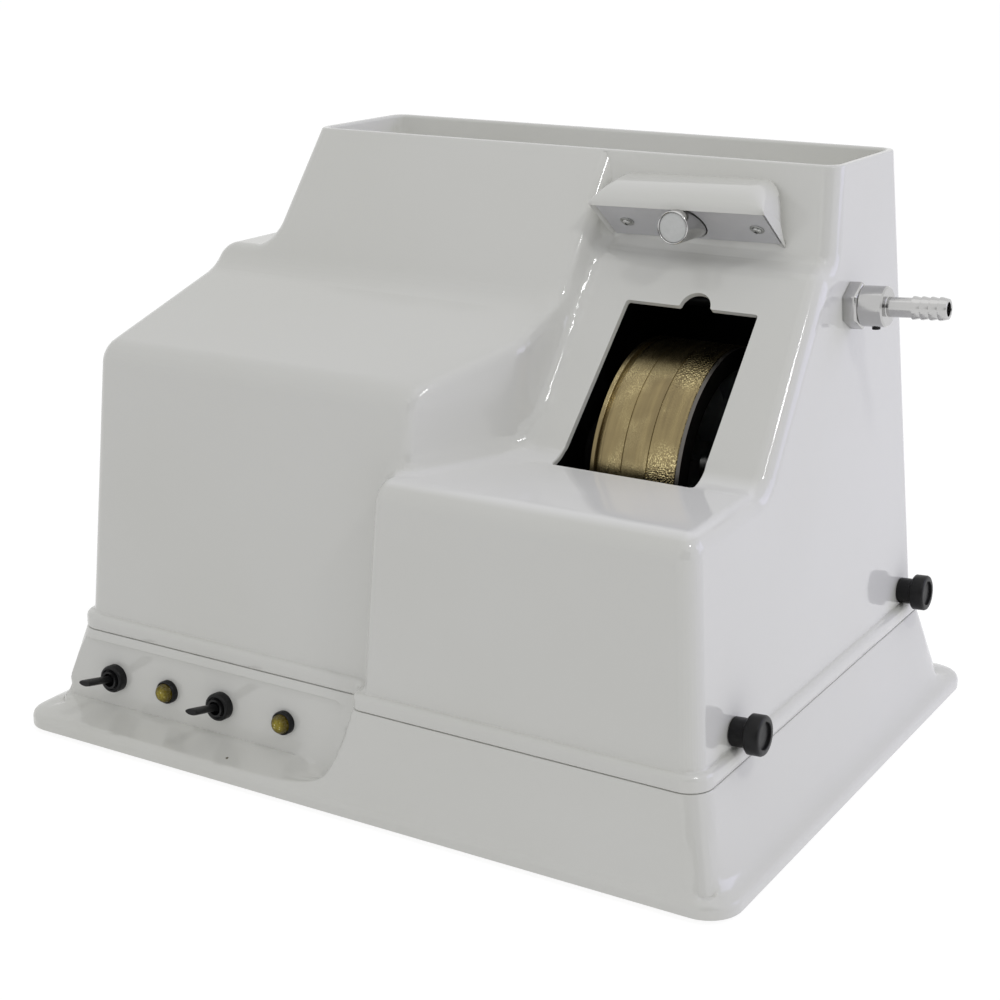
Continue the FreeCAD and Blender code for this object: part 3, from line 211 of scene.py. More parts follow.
cut_tolerance = 0.00001
relaxing = 0.5


def softened(piece, softness, spacing, repeats):
    """Cuts the soft region of a skin into small cells and relaxes them, most where softness is near 1."""
    mesh = bmesh.new()
    mesh.from_mesh(piece.data)
    soft = softness(np.array([corner.co for corner in mesh.verts])) > 0
    places = np.array([corner.co for corner in mesh.verts if soft[corner.index]])
    cells = [face for face in mesh.faces if any(soft[corner.index] for corner in face.verts)]
    for axis in range(3):
        across = [float(axis == k) for k in range(3)]
        for at in np.arange(places[:, axis].min() + spacing / 2, places[:, axis].max(), spacing):
            around = {part for face in cells for part in (*face.verts, *face.edges)}
            cut = bmesh.ops.bisect_plane(mesh, geom=cells + list(around), dist=cut_tolerance,
                                         plane_co=[at * k for k in across], plane_no=across)
            cells = [part for part in cut["geom"] if isinstance(part, bmesh.types.BMFace)]
    mesh.to_mesh(piece.data)
    mesh.free()
    places = np.empty(len(piece.data.vertices) * 3)
    piece.data.vertices.foreach_get("co", places)
    places = places.reshape(-1, 3)
    ends = np.empty(len(piece.data.edges) * 2, dtype=np.int32)
    piece.data.edges.foreach_get("vertices", ends)
    ends = np.concatenate([ends.reshape(-1, 2), ends.reshape(-1, 2)[:, ::-1]])
    share = softness(places)
    ends = ends[share[ends[:, 0]] > 0]
    count = np.maximum(1, np.bincount(ends[:, 0], minlength=len(places)))
    for _ in range(repeats):
        for axis in range(3):
            sums = np.bincount(ends[:, 0], weights=places[ends[:, 1], axis], minlength=len(places))
            places[:, axis] += relaxing * share * (sums / count - places[:, axis])
    piece.data.vertices.foreach_set("co", places.ravel())
    piece.data.update()


def shaded(piece, angle):
    """Smooth shading up to an angle, with the flat faces kept flat."""
    only(piece)
    bpy.ops.object.shade_smooth_by_angle(angle=math.radians(angle))
    weights = piece.modifiers.new("flat faces stay flat", "WEIGHTED_NORMAL")
    weights.keep_sharp = True
    bpy.ops.object.modifier_apply(modifier=weights.name)


def rise(value, low, high):
    """0 up to one value, 1 from another on, and a smooth rise between; falls where the first is larger."""
    share = np.clip((value - low) / (high - low), 0, 1)
    return share * share * (3 - 2 * share)


def fitted(piece, finish, body, *stands_for):
    """Gives a piece its finish, the body that it moves with and the CAD nodes that it stands for."""
    piece.data.materials.append(finish.material)
    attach(piece, body)
    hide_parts(*stands_for)
    return piece


wall_right, wall_left, wall_back = 0.2253, 0.2448, 0.160
wall_step, left_front, right_front = -0.0052, -0.171, -0.1905
seam_height, wall_flare, flare_height = 0.067, 0.011, 0.0415
skin_depth, foot_share = 0.0020, 0.7
panel_front, panel_middle, panel_lean = -0.1753, 0.037, 0.0699


def base_softness(places):
    """The outer skin at the foot of the flared wall, and the right end of the control panel."""
    x, y, z = places.T
    front = np.where(x < wall_step, left_front, right_front)
    outside = np.max([x - wall_right, -x - wall_left, y - wall_back, front - y], axis=0)
    skin = outside > skin_depth + wall_flare * (seam_height - z) / flare_height
    foot = skin * rise(z, 0.011, 0.0145) * rise(z, 0.044, 0.030) * foot_share
    panel_end = (y < panel_front - (panel_middle - z) * panel_lean)
    panel_end = panel_end * rise(x, 0.012, -0.006) * rise(x, -0.063, -0.045)
    return np.maximum(foot, panel_end * rise(z, 0.0115, 0.016) * rise(z, 0.060, 0.050))


base = moulded_copy("base_shell", "base_moulding", edge=0.0005, softness=base_softness, crisp=Vector())
softened(base, base_softness, spacing=0.007, repeats=120)
shaded(base, angle=40)
fitted(base, gelcoat, "machine", "base_shell")


# Inside of the base: the deck and the upstand for the hood are bonded in, bare laminate with its resin
# showing; a zinc-plated plate is screwed on from below and the machine stands on four rubber feet.

def coat(finish, *names):
    """Gives CAD nodes a finish."""
    for name in names:
        for place in nodes[name].material_slots:
            place.material = finish.material


laminate = Finish("bare_laminate", "white_gelcoat")
strands_across = laminate.noise(1, 4, laminate.stretched(420, 60, 300))
strands_along = laminate.noise(1, 4, laminate.stretched(60, 420, 300))
strands = strands_across + strands_along
laminate.set(
    Base_Color=laminate.mix(laminate.between(strands, 0.8, 1.2), (0.58, 0.57, 0.50), (0.66, 0.66, 0.60)),
    Roughness=0.3 + laminate.noise(60, 3) * 0.3,
    Normal=laminate.bump(strands, 0.0003),
)
coat(laminate, "base_deck", "base_upstand")

zinc = Finish("zinc_steel")
zinc.set(
    Base_Color=zinc.mix(zinc.cells(160), (0.40, 0.41, 0.41), (0.52, 0.52, 0.50)),
    Metallic=1.0,
    Roughness=0.26 + zinc.noise(140, 4) * 0.2,
    Normal=zinc.bump(zinc.noise(900, 2), 0.00002),
)
coat(zinc, "bottom_plate", "bottom_plate_screws")

rubber = Finish("rubber")
rubber.set(
    Base_Color=rubber.mix(rubber.noise(90, 4), (0.016, 0.016, 0.015), (0.035, 0.034, 0.032)),
    Roughness=0.6 + rubber.noise(300, 3) * 0.3,
    Normal=rubber.bump(rubber.noise(800, 3), 0.00006),
)
coat(rubber, "rubber_feet")


# Motor on the deck: a drawn housing between cast bells in grey hammer paint, on a cradle with four bolts.
# Its core is punched from sheet and the coils are enamelled copper, hidden inside the housing.

motor_paint = Finish("motor_paint")
hammered = motor_paint.cells(260, "SMOOTH_F1")
motor_paint.set(
    Base_Color=motor_paint.mix(hammered, (0.060, 0.066, 0.072), (0.085, 0.092, 0.100)),
    Roughness=0.28 + motor_paint.noise(80, 3) * 0.15,
    Normal=motor_paint.bump(hammered, 0.0002),
)
coat(motor_paint, "motor_housing", "motor_end_bells", "motor_cradle")
coat(zinc, "motor_cradle_bolts")

laminations = Finish("laminations")
sheets = laminations.node("ShaderNodeTexWave", {"bands_direction": "X"},
                          {"Vector": laminations.place(), "Scale": 300}, 1)
laminations.set(
    Base_Color=laminations.mix(sheets, (0.12, 0.12, 0.125), (0.26, 0.26, 0.265)),
    Metallic=0.9,
    Roughness=0.4 + laminations.noise(120, 3) * 0.2,
    Normal=laminations.bump(sheets, 0.00008),
)
coat(laminations, "stator_core", "rotor_core")

copper = Finish("copper_windings")
wires = copper.noise(1, 3, copper.stretched(60, 900, 900))
copper.set(
    Base_Color=copper.mix(wires, (0.22, 0.07, 0.025), (0.50, 0.20, 0.08)),
    Metallic=0.7,
    Roughness=0.22 + wires * 0.2,
    Normal=copper.bump(wires, 0.0006),
)
coat(copper, "stator_windings")

bright = Finish("bright_steel")
drawn = bright.noise(1, 3, bright.stretched(900, 60, 60))
bright.set(
    Base_Color=bright.mix(bright.noise(45, 3), (0.44, 0.44, 0.44), (0.56, 0.555, 0.545)),
    Metallic=1.0,
    Roughness=0.10 + drawn * 0.12,
    Normal=bright.bump(drawn, 0.00002),
)
coat(bright, "shaft_bearings", "motor_shaft")

grey_plastic = Finish("grey_plastic")
grey_plastic.set(
    Base_Color=grey_plastic.mix(grey_plastic.noise(40, 3), (0.26, 0.265, 0.27), (0.32, 0.32, 0.325)),
    Roughness=0.38 + grey_plastic.noise(200, 2) * 0.15,
    Normal=grey_plastic.bump(grey_plastic.noise(900, 2), 0.00003),
)
coat(grey_plastic, "motor_fan")


# Wet side: a black partition with a rubber shaft seal keeps the water off the motor, and a black pan under
# the wheel drains through a plastic elbow at the back of the base.

black_paint = Finish("black_inside_paint", "black_plastic")
splashes = black_paint.between(black_paint.noise(28, 6), 0.52, 0.75)
black_paint.set(
    Base_Color=black_paint.mix(splashes, (0.006, 0.006, 0.006), (0.020, 0.019, 0.017)),
    Roughness=0.35 + black_paint.noise(50, 4) * 0.3,
    Normal=black_paint.bump(black_paint.noise(240, 3), 0.00015),
    Specular_IOR_Level=0.3,
)
coat(black_paint, "splash_partition", "sump_pan")
coat(zinc, "partition_screws")
coat(rubber, "shaft_seal", "water_slinger")
coat(grey_plastic, "drain_elbow", "drain_locknut")


# Grinding wheel: four rings of bronze-bonded diamond on a hub, the narrow one with a groove for the bevel.
# They are turned and trued, so each has fine lines round it; the grit is coarsest on the right.

mm = 0.001
meeting = 0.000002
edge_angle = 25
smooth_angle = 35


def turned(name, rings, sides, edge=0.0):
    """A piece turned about Z through rings of (radius, height) in mm; bored where the last is the first."""
    bpy.ops.object.select_all(action="DESELECT")
    radius, height = rings[0]
    bpy.ops.mesh.primitive_circle_add(vertices=sides, radius=radius * mm, location=(0, 0, height * mm))
    piece = bpy.context.object
    piece.name = piece.data.name = name
    bpy.ops.object.transform_apply()
    bpy.ops.object.mode_set(mode="EDIT")
    bpy.ops.mesh.select_all(action="SELECT")
    for new_radius, new_height in rings[1:]:
        bpy.ops.mesh.extrude_region_move(TRANSFORM_OT_translate={"value": (0, 0, (new_height - height) * mm)})
        share = new_radius / radius
        bpy.ops.transform.resize(value=(share, share, 1), center_override=(0, 0, new_height * mm))
        radius, height = new_radius, new_height
    bpy.ops.mesh.select_all(action="SELECT")
    bpy.ops.mesh.remove_doubles(threshold=meeting)
    bpy.ops.mesh.fill_holes(sides=0)
    bpy.ops.mesh.normals_make_consistent(inside=False)
    if edge:
        bpy.ops.mesh.select_all(action="DESELECT")
        mesh = bmesh.from_edit_mesh(piece.data)
        for line in mesh.edges:
            line.select_set(line.calc_face_angle() > math.radians(edge_angle))
        bpy.ops.mesh.bevel(offset=edge * mm, segments=2, affect="EDGES")
    bpy.ops.object.mode_set(mode="OBJECT")
    bpy.ops.object.shade_smooth_by_angle(angle=math.radians(smooth_angle))
    return piece


def set_down(piece, place, direction):
    """Puts a piece that was made along Z at a place in mm, with its Z along a direction."""
    only(piece)
    facing = Vector(direction).to_track_quat("Z", "Y").to_matrix().to_4x4()
    piece.matrix_world = Matrix.Translation(Vector(place) * mm) @ facing
    bpy.ops.object.transform_apply()
    return piece


bare_bronze = (0.30, 0.238, 0.120)
# Darker bronze of the streaks, painted for tarnish and painted reflection together.
dark_streak_bronze = (0.195, 0.152, 0.082)
# Gold of the painted highlights on the grit.
painted_glint_colour = (0.80, 0.68, 0.36)
line_depth = 0.00003


def bronze_ring(name, grit, depth):
    """A bronze bond whose grit has a number of grains to the metre and a depth."""
    bond = Finish(name, "bronze_bond")
    lines = bond.noise(1, 3, bond.stretched(1400, 14, 14))
    streaks = bond.noise(1, 4, bond.stretched(220, 16, 16))
    # Lighter and darker streaks round the ring are tarnish and painted reflection together.
    tarnish_and_reflection = bond.between(streaks * 0.6 + bond.noise(30, 4) * 0.4, 0.30, 0.72)
    # Gold spots in patches are painted highlights of the grit, painted into the colour.
    glint_patches = bond.between(bond.noise(26, 2), 0.40, 0.60)
    painted_glints = bond.between(bond.noise(grit * 1.6, 2), 0.48, 0.64) * glint_patches
    bond.set(
        Base_Color=bond.mix(painted_glints, bond.mix(tarnish_and_reflection, bare_bronze, dark_streak_bronze), painted_glint_colour),
        Metallic=1.0,
        Roughness=0.24 + tarnish_and_reflection * 0.14 - painted_glints * 0.10,
        Normal=bond.bump(bond.cells(grit), depth, bond.bump(lines, line_depth)),
    )
    return bond


wheel_start, shaft_y, shaft_z = 91.753, 2.5, 194
along_shaft = (1, 0, 0)
ring_bore, ring_radius, edge_radius, ring_edge = 71.5, 79.5, 79.0, 0.4
for node, offset, width, grit, depth in (("fine_ring", 7.0, 14.5, 1500, 0.00004),
                                         ("medium_ring", 21.5, 17.0, 2200, 0.000025),
                                         ("coarse_ring", 38.5, 19.5, 800, 0.00022)):
    rings = [(ring_bore, 0), (edge_radius, 0), (ring_radius, ring_edge), (ring_radius, width - ring_edge),
             (edge_radius, width), (ring_bore, width), (ring_bore, 0)]
    ring = turned(node + "_turned", rings, sides=180)
    set_down(ring, (wheel_start + offset, shaft_y, shaft_z), along_shaft)
    fitted(ring, bronze_ring(node + "_bond", grit, depth), "spindle", node)
groove_radius, bevel_width = 76.5, 7
rings = [(ring_bore, 0), (79.1, 0), (ring_radius, ring_edge), (ring_radius, 2.6), (79.2, 3.0), (76.7, 3.1),
         (groove_radius, 3.3), (groove_radius, bevel_width), (ring_bore, bevel_width), (ring_bore, 0)]
bevel_ring = turned("bevel_ring_turned", rings, sides=180)
set_down(bevel_ring, (wheel_start, shaft_y, shaft_z), along_shaft)
fitted(bevel_ring, bronze_ring("bevel_ring_bond", grit=1800, depth=0.00003), "spindle", "bevel_ring")

aluminium = Finish("aluminium")
brushed = aluminium.noise(1, 4, aluminium.stretched(30, 700, 700))
aluminium.set(
    Base_Color=aluminium.mix(aluminium.noise(35, 4), (0.52, 0.53, 0.54), (0.63, 0.64, 0.65)),
    Metallic=1.0,
    Roughness=0.28 + brushed * 0.16,
    Normal=aluminium.bump(brushed, 0.00004),
)
coat(aluminium, "wheel_hub")
coat(zinc, "wheel_back_flange", "wheel_washer", "wheel_nut")

dull_steel = Finish("dull_steel", "zinc_steel")
dull_steel.set(
    Base_Color=dull_steel.mix(dull_steel.noise(60, 4), (0.105, 0.098, 0.090), (0.17, 0.16, 0.148)),
    Metallic=1.0,
    Roughness=0.3 + dull_steel.noise(220, 3) * 0.2,
    Normal=dull_steel.bump(dull_steel.noise(700, 2), 0.00003),
)
coat(dull_steel, "wheel_end_ring")


# Hood: the second moulding, white outside and painted black inside, where the wheel throws its water. Its
# left part falls to the deck in one soft sweep, with no hard edge where the wall rolls over and runs out.

sweep_x, sweep_y, sweep_angle = 0.0508, -0.0815, 64
top_share = 0.12


def hood_softness(places):
    """The sweep at the left of the window face, from the deck up to the tower."""
    x, y, z = places.T
    aside = x - sweep_x + np.maximum(0, sweep_y - y) / math.tan(math.radians(sweep_angle))
    near = rise(aside, -0.048, -0.022) * rise(aside, 0.026, 0.014)
    fading = top_share + (1 - top_share) * rise(z, 0.345, 0.285)
    height = rise(z, 0.206, 0.214) * fading * rise(z, 0.380, 0.365)
    return near * height * rise(y, -0.163, -0.140)


bead_top, bead_share = 0.0818, 0.3


def bead_softness(places):
    """The round upper side of the bead at the seam."""
    z = places[:, 2]
    return bead_share * rise(z, 0.0705, 0.0740) * rise(z, bead_top, 0.0785)


slope_up = Vector((0, -0.7705, 0.6374))
slope_foot = Vector((0, -0.0894, 0.213))
hood = moulded_copy("hood_shell", "hood_moulding", edge=0.0012, softness=hood_softness, crisp=slope_up)
bpy.ops.object.mode_set(mode="EDIT")
bpy.ops.mesh.select_all(action="SELECT")
bpy.ops.mesh.bisect(plane_co=(0, 0, bead_top), plane_no=(0, 0, 1))
bpy.ops.object.mode_set(mode="OBJECT")
softened(hood, bead_softness, spacing=0.006, repeats=10)
softened(hood, hood_softness, spacing=0.005, repeats=90)
shaded(hood, angle=40)
fitted(hood, gelcoat, "hood", "hood_shell")

# The black stops at the cut edges of the window and at the bead, and the tray on top is white.
hood.data.materials.append(black_paint.material)
middle_of_hood = Vector((0.024, 0.06, 0.2))
above_bead, tray_floor = 0.09, 0.3625
window_left, window_right = 0.07, 0.185
slope_left, slope_right = 0.055, 0.2
across_slope, facing_in, sliver_width = 0.35, 0.05, 0.0002
for face in hood.data.polygons:
    inward = middle_of_hood - face.center
    if face.center.z < above_bead:
        inward.z = 0
    over_slope = (face.center - slope_foot).dot(slope_up)
    cut_edge = abs(face.normal.dot(slope_up)) < across_slope and -0.008 < over_slope < 0.003
    cut_edge = cut_edge and window_left < face.center.x < window_right
    beside_window = slope_left < face.center.x < slope_right and -0.0015 < over_slope < 0.002
    corners = [hood.data.vertices[corner].co for corner in face.vertices]
    sliver = face.area < sliver_width * max((corner - corners[0]).length for corner in corners)
    stays_white = cut_edge or beside_window or sliver or face.center.z > tray_floor
    if face.normal.dot(inward.normalized()) > facing_in and not stays_white:
        face.material_index = 1


# Work lamp: a white visor on the upper panel, moulded like a pillow and a little lower on the left, with a
# brushed plate screwed under it and a chromed tube with a frosted disc that shines down on the window.

visor_left, visor_right = 55.75, 174.75
visor_front, visor_back = (-14.5, 361), (18.9, 335.8)
visor_lean, visor_droop = -37.06, -1.6
crown_y, crown_z, crown_depth, crown_height = 26.1, 363, 40.6, 14
left_round, right_round = 10, 18
end_share = 0.22
visor_rim, visor_hollow = 2.6, 4

visor_straight = Matrix.Translation(Vector((0, *visor_front)) * mm)
visor_straight = visor_straight @ Matrix.Rotation(math.radians(visor_lean), 4, "X")
visor_pivot = Matrix.Translation(Vector((visor_right, *visor_front)) * mm)
visor_tilt = visor_pivot @ Matrix.Rotation(math.radians(visor_droop), 4, "Y") @ visor_pivot.inverted()
visor_place = visor_tilt @ visor_straight

outline = [visor_front, visor_back]
for turn in range(90, -1, -6):
    outline.append((crown_y - crown_depth * math.cos(math.radians(turn)),
                    crown_z + crown_height * math.sin(math.radians(turn))))
bpy.ops.object.select_all(action="DESELECT")
bpy.ops.mesh.primitive_circle_add(vertices=len(outline), fill_type="NGON")
visor = bpy.context.object
visor.name = visor.data.name = "lamp_visor_moulding"
for corner, (y, z) in zip(visor.data.vertices, outline):
    place = visor_straight.inverted() @ (Vector((visor_left, y, z)) * mm)
    corner.co = (place.x, place.y, place.z * end_share)
sections = []
for turn in range(18, 91, 12):
    x = visor_left + left_round - left_round * math.cos(math.radians(turn))
    sections.append((x, math.sin(math.radians(turn))))
for turn in range(90, 11, -6):
    x = visor_right - right_round + right_round * math.cos(math.radians(turn))
    sections.append((x, math.sin(math.radians(turn))))
sections.append((visor_right, end_share))
bpy.ops.object.mode_set(mode="EDIT")
bpy.ops.mesh.select_all(action="SELECT")
last_x, last_share = visor_left, end_share
for x, share in sections:
    bpy.ops.mesh.extrude_region_move(TRANSFORM_OT_translate={"value": ((x - last_x) * mm, 0, 0)})
    bpy.ops.transform.resize(value=(1, 1, share / last_share), center_override=(0, 0, 0))
    last_x, last_share = x, share
bpy.ops.mesh.select_all(action="SELECT")
bpy.ops.mesh.normals_make_consistent(inside=False)
bpy.ops.mesh.select_mode(type="FACE")
bpy.ops.mesh.select_all(action="DESELECT")
mesh = bmesh.from_edit_mesh(visor.data)
for face in mesh.faces:
    face.select_set(face.normal.z < -square)
bmesh.update_edit_mesh(visor.data)
bpy.ops.mesh.inset(thickness=visor_rim * mm, use_even_offset=True)
bpy.ops.transform.translate(value=(0, 0, visor_hollow * mm))
bpy.ops.mesh.select_mode(type="EDGE")
bpy.ops.object.mode_set(mode="OBJECT")
visor.matrix_world = visor_place
only(visor)
bpy.ops.object.transform_apply()
shaded(visor, angle=50)
fitted(visor, gelcoat, "hood", "lamp_visor")


def cut_away(piece, cutter):
    """Cuts one piece out of another and takes it away."""
    only(piece)
    cut = piece.modifiers.new("cut", "BOOLEAN")
    cut.object = cutter
    cut.solver = "EXACT"
    bpy.ops.object.modifier_apply(modifier=cut.name)
    bpy.data.objects.remove(cutter)


anodised = Finish("anodised_plate", "aluminium")
grain = anodised.noise(1, 3, anodised.stretched(40, 500, 500))
anodised.set(
    Base_Color=anodised.mix(anodised.noise(24, 4), (0.58, 0.58, 0.60), (0.74, 0.74, 0.76)),
    Metallic=0.5,
    Roughness=0.42 + grain * 0.15,
    Normal=anodised.bump(grain, 0.00003),
)
plate_middle, plate_size = (115.25, 20.6, 2.1), (113.4, 35.6, 1.5)
lamp_x, lamp_front, lamp_z = 117.253, -21.5, 349.5
lamp_hole_radius, cutter_length = 11.3, 120
bpy.ops.object.select_all(action="DESELECT")
bpy.ops.mesh.primitive_cube_add(size=1, location=[place * mm for place in plate_middle],
                                scale=[side * mm for side in plate_size])
plate = bpy.context.object
plate.name = plate.data.name = "lamp_plate_cut"
bpy.ops.object.transform_apply()
plate.matrix_world = visor_place
bpy.ops.object.transform_apply()
bpy.ops.mesh.primitive_cylinder_add(vertices=64, radius=lamp_hole_radius * mm, depth=cutter_length * mm,
                                    location=(lamp_x * mm, 0, lamp_z * mm), rotation=(math.radians(90), 0, 0))
cut_away(plate, bpy.context.object)
fitted(plate, anodised, "hood", "lamp_plate")

rings = [(10.4, 60), (10.4, 0.8), (10.2, 0.25), (9.85, 0), (9.5, 0.2), (9.2, 0.8), (9.2, 60), (10.4, 60)]
lamp_tube = turned("work_lamp_tube_turned", rings, sides=72)
set_down(lamp_tube, (lamp_x, lamp_front, lamp_z), (0, 1, 0))
fitted(lamp_tube, bright, "hood", "work_lamp_tube")

frosted = Finish("frosted_lens")
frosted.set(
    Base_Color=frosted.mix(frosted.noise(400, 3), (0.62, 0.63, 0.62), (0.74, 0.75, 0.74)),
    Roughness=0.3 + frosted.noise(500, 2) * 0.2,
    Normal=frosted.bump(frosted.noise(1200, 2), 0.00006),
)
rings = [(9.15, 3.1), (9.15, 1.2), (8.7, 0.8), (6.5, 0.55), (3.5, 0.4), (0.5, 0.35)]
lamp_lens = turned("work_lamp_lens_pressed", rings, sides=72)
set_down(lamp_lens, (lamp_x, lamp_front, lamp_z), (0, 1, 0))
fitted(lamp_lens, frosted, "hood", "work_lamp_lens")
coat(grey_plastic, "work_lamp_socket")

plate_down = (0, -0.6129, -0.7902)
screw_y = 2.95
head_height = 2.2
head_rings = [(3.0, 0), (4.6, 0), (4.6, 0.45), (4.4, 0.6), (3.0, 0.6), (3.0, 1.1), (2.6, 1.7), (1.7, 2.1),
              (0.9, head_height)]
recess_size = (3.2, 0.75, 1.8)


def cross_head(name):
    """A pan-head screw on its washer, with a cross recess cut into the head."""
    screw = turned(name, head_rings, sides=40)
    for turn in (0, 90):
        bpy.ops.mesh.primitive_cube_add(size=1, location=(0, 0, head_height * mm),
                                        scale=[side * mm for side in recess_size],
                                        rotation=(0, 0, math.radians(turn)))
        cut_away(screw, bpy.context.object)
    return screw


for side, x, z in (("left", 73.753, 346.5), ("right", 162.753, 349.0)):
    screw = set_down(cross_head("lamp_plate_screw_" + side), (x, screw_y, z), plate_down)
    fitted(screw, zinc, "hood", "lamp_plate_screws")


# Water inlet: a plated hose tail screwed through the right wall against a hexagon nut, with a small black
# set screw under its collar and a drip pipe behind it, over the wheel.

wall_normal = (0.997743, 0, 0.067145)
inlet = (209.573, 43.5, 300)
rings = [(9, 0), (15.0, 0), (15.0, 8.0), (14.2, 9.0), (9, 9.0), (9, 0)]
inlet_nut = set_down(turned("inlet_locknut_hexagon", rings, sides=6, edge=0.5), inlet, wall_normal)
fitted(inlet_nut, bright, "hood", "inlet_locknut")
barbs, barb_pitch = 4, 5.6
rings = [(4.4, -16), (8, -16), (8, 9), (12.1, 9), (12.7, 9.7), (12.7, 24.0), (11.8, 25), (6.6, 25),
         (6.2, 25.5), (6.2, 41)]
for barb in range(barbs):
    along = barb_pitch * barb
    rings += [(7.3, 41.2 + along), (7.3, 42.2 + along), (6.3, 46.4 + along)]
rings += [(5.9, 63.2), (5.5, 63.4), (4.7, 63.4), (4.4, 63.0), (4.4, -16)]
hose_tail = set_down(turned("inlet_hose_tail", rings, sides=64), inlet, wall_normal)
fitted(hose_tail, bright, "hood", "inlet_barb")
coat(bright, "inlet_back_nut")

black_plastic = Finish("black_plastic")
black_plastic.set(
    Base_Color=black_plastic.mix(black_plastic.noise(70, 4), (0.006, 0.006, 0.0065), (0.012, 0.012, 0.0125)),
    Roughness=0.26 + black_plastic.noise(160, 3) * 0.2,
    Normal=black_plastic.bump(black_plastic.noise(700, 2), 0.00004),
    Specular_IOR_Level=0.22,
)
coat(black_plastic, "inlet_set_screw", "drip_pipe")


# Clamp knobs: two black moulded knobs on the right wall draw the hood down; each has a stud that runs in a
# slot of the upstand and a square nut behind it.

knob_x, knob_z = 223.908, 87
rings = [(8.1, 0.3), (8.7, 0.9), (8.7, 9.4), (9.2, 10.2), (11.0, 10.5), (12, 11.4), (12, 18.6), (11.4, 19.6),
         (10.6, 20), (8.5, 20), (8.15, 19.7), (8.0, 18.4)]
for node, y, body in (("front_knob", -142.5, "front_clamp"), ("rear_knob", 130.5, "rear_clamp")):
    knob = set_down(turned(node + "_moulded", rings, sides=72), (knob_x, y, knob_z), wall_normal)
    fitted(knob, black_plastic, body, node)
coat(zinc, "front_knob_stud", "rear_knob_stud", "clamp_nuts")


# Switches: two toggles with a ringed collar screwed on from the front and a flat lever that swings up and
# down on a ball in the bush.

switches = (("left", -215.247), ("right", -124.247))
panel_y, panel_z = -176.998, 37
panel_normal = (0, -0.99756, 0.06976)
rings = [(9.3, 0), (9.3, 4.9), (8.8, 6.0), (8.2, 6.4), (7.4, 6.5), (7.0, 6.2), (6.8, 5.3), (6.2, 5.2),
         (6.0, 6.0), (5.6, 6.3), (5.0, 6.2), (4.65, 5.6), (4.6, 0), (9.3, 0)]
for side, x in switches:
    collar = set_down(turned("switch_collar_" + side, rings, sides=64), (x, panel_y, panel_z), panel_normal)
    fitted(collar, black_plastic, "machine", "switch_collars")

ball_y, ball_z, lever_angle = -179.990, 37.209, 13
lever_out = (0, -math.cos(math.radians(lever_angle)), math.sin(math.radians(lever_angle)))
# Height above the ball's middle, half the width and half the thickness of each section
lever_sections = [(-4.0, 0.7, 0.7), (-3.3, 2.4, 2.4), (-1.9, 3.6, 3.6), (0, 4.1, 4.1), (1.7, 3.7, 3.7),
                  (2.8, 3.0, 3.0), (4.0, 2.6, 2.6), (9.0, 2.6, 2.5), (14.0, 3.2, 2.4), (20.0, 4.2, 2.3),
                  (26.5, 4.75, 2.1), (28.4, 4.7, 1.9), (29.0, 4.2, 1.4)]


def lever(name):
    """A toggle lever along Z: ball, round neck, and a flat blade that widens to its end."""
    bpy.ops.object.select_all(action="DESELECT")
    height, half_width, half_depth = lever_sections[0]
    bpy.ops.mesh.primitive_circle_add(vertices=32, radius=half_width * mm, location=(0, 0, height * mm))
    piece = bpy.context.object
    piece.name = piece.data.name = name
    bpy.ops.object.transform_apply()
    bpy.ops.object.mode_set(mode="EDIT")
    bpy.ops.mesh.select_all(action="SELECT")
    for new_height, new_width, new_depth in lever_sections[1:]:
        bpy.ops.mesh.extrude_region_move(TRANSFORM_OT_translate={"value": (0, 0, (new_height - height) * mm)})
        bpy.ops.transform.resize(value=(new_width / half_width, new_depth / half_depth, 1),
                                 center_override=(0, 0, new_height * mm))
        height, half_width, half_depth = new_height, new_width, new_depth
    bpy.ops.mesh.select_all(action="SELECT")
    bpy.ops.mesh.fill_holes(sides=0)
    bpy.ops.mesh.normals_make_consistent(inside=False)
    bpy.ops.object.mode_set(mode="OBJECT")
    bpy.ops.object.shade_smooth_by_angle(angle=math.radians(40))
    return piece


for side, x in switches:
    blade = set_down(lever("toggle_blade_" + side), (x, ball_y, ball_z), lever_out)
    fitted(blade, black_plastic, side + "_toggle", "toggle_lever_" + side)
coat(black_plastic, "switch_bodies")


# Pilot lamps: an amber dome of clear plastic, cast with small facets that catch the light, held on the
# control panel by a black bezel that is screwed over it. The facets' colour is painted lighter in their
# middles and darker at their edges, and some near the top of each dome carry painted highlights.

lamps_middle, half_pitch, dome_height = -0.120997, 0.04825, 0.0376
amber_light, amber_shade, amber_rim = (0.50, 0.41, 0.030), (0.20, 0.150, 0.004), (0.095, 0.070, 0.003)
# Colour of the painted highlights on the domes.
painted_spark_colour = (0.90, 0.84, 0.48)

amber = Finish("amber_lens")
facets = amber.cells(520)
to_middle = amber.node("ShaderNodeMath", {"operation": "ABSOLUTE"}, {0: amber.axis("X") - lamps_middle})
across = to_middle - half_pitch
upward = amber.axis("Z") - dome_height
from_middle = amber.node("ShaderNodeMath", {"operation": "SQRT"}, {0: across * across + upward * upward})
# The dome's colour darkens from its middle to its rim.
darker_to_rim = amber.between(from_middle, 0.0015, 0.0062)
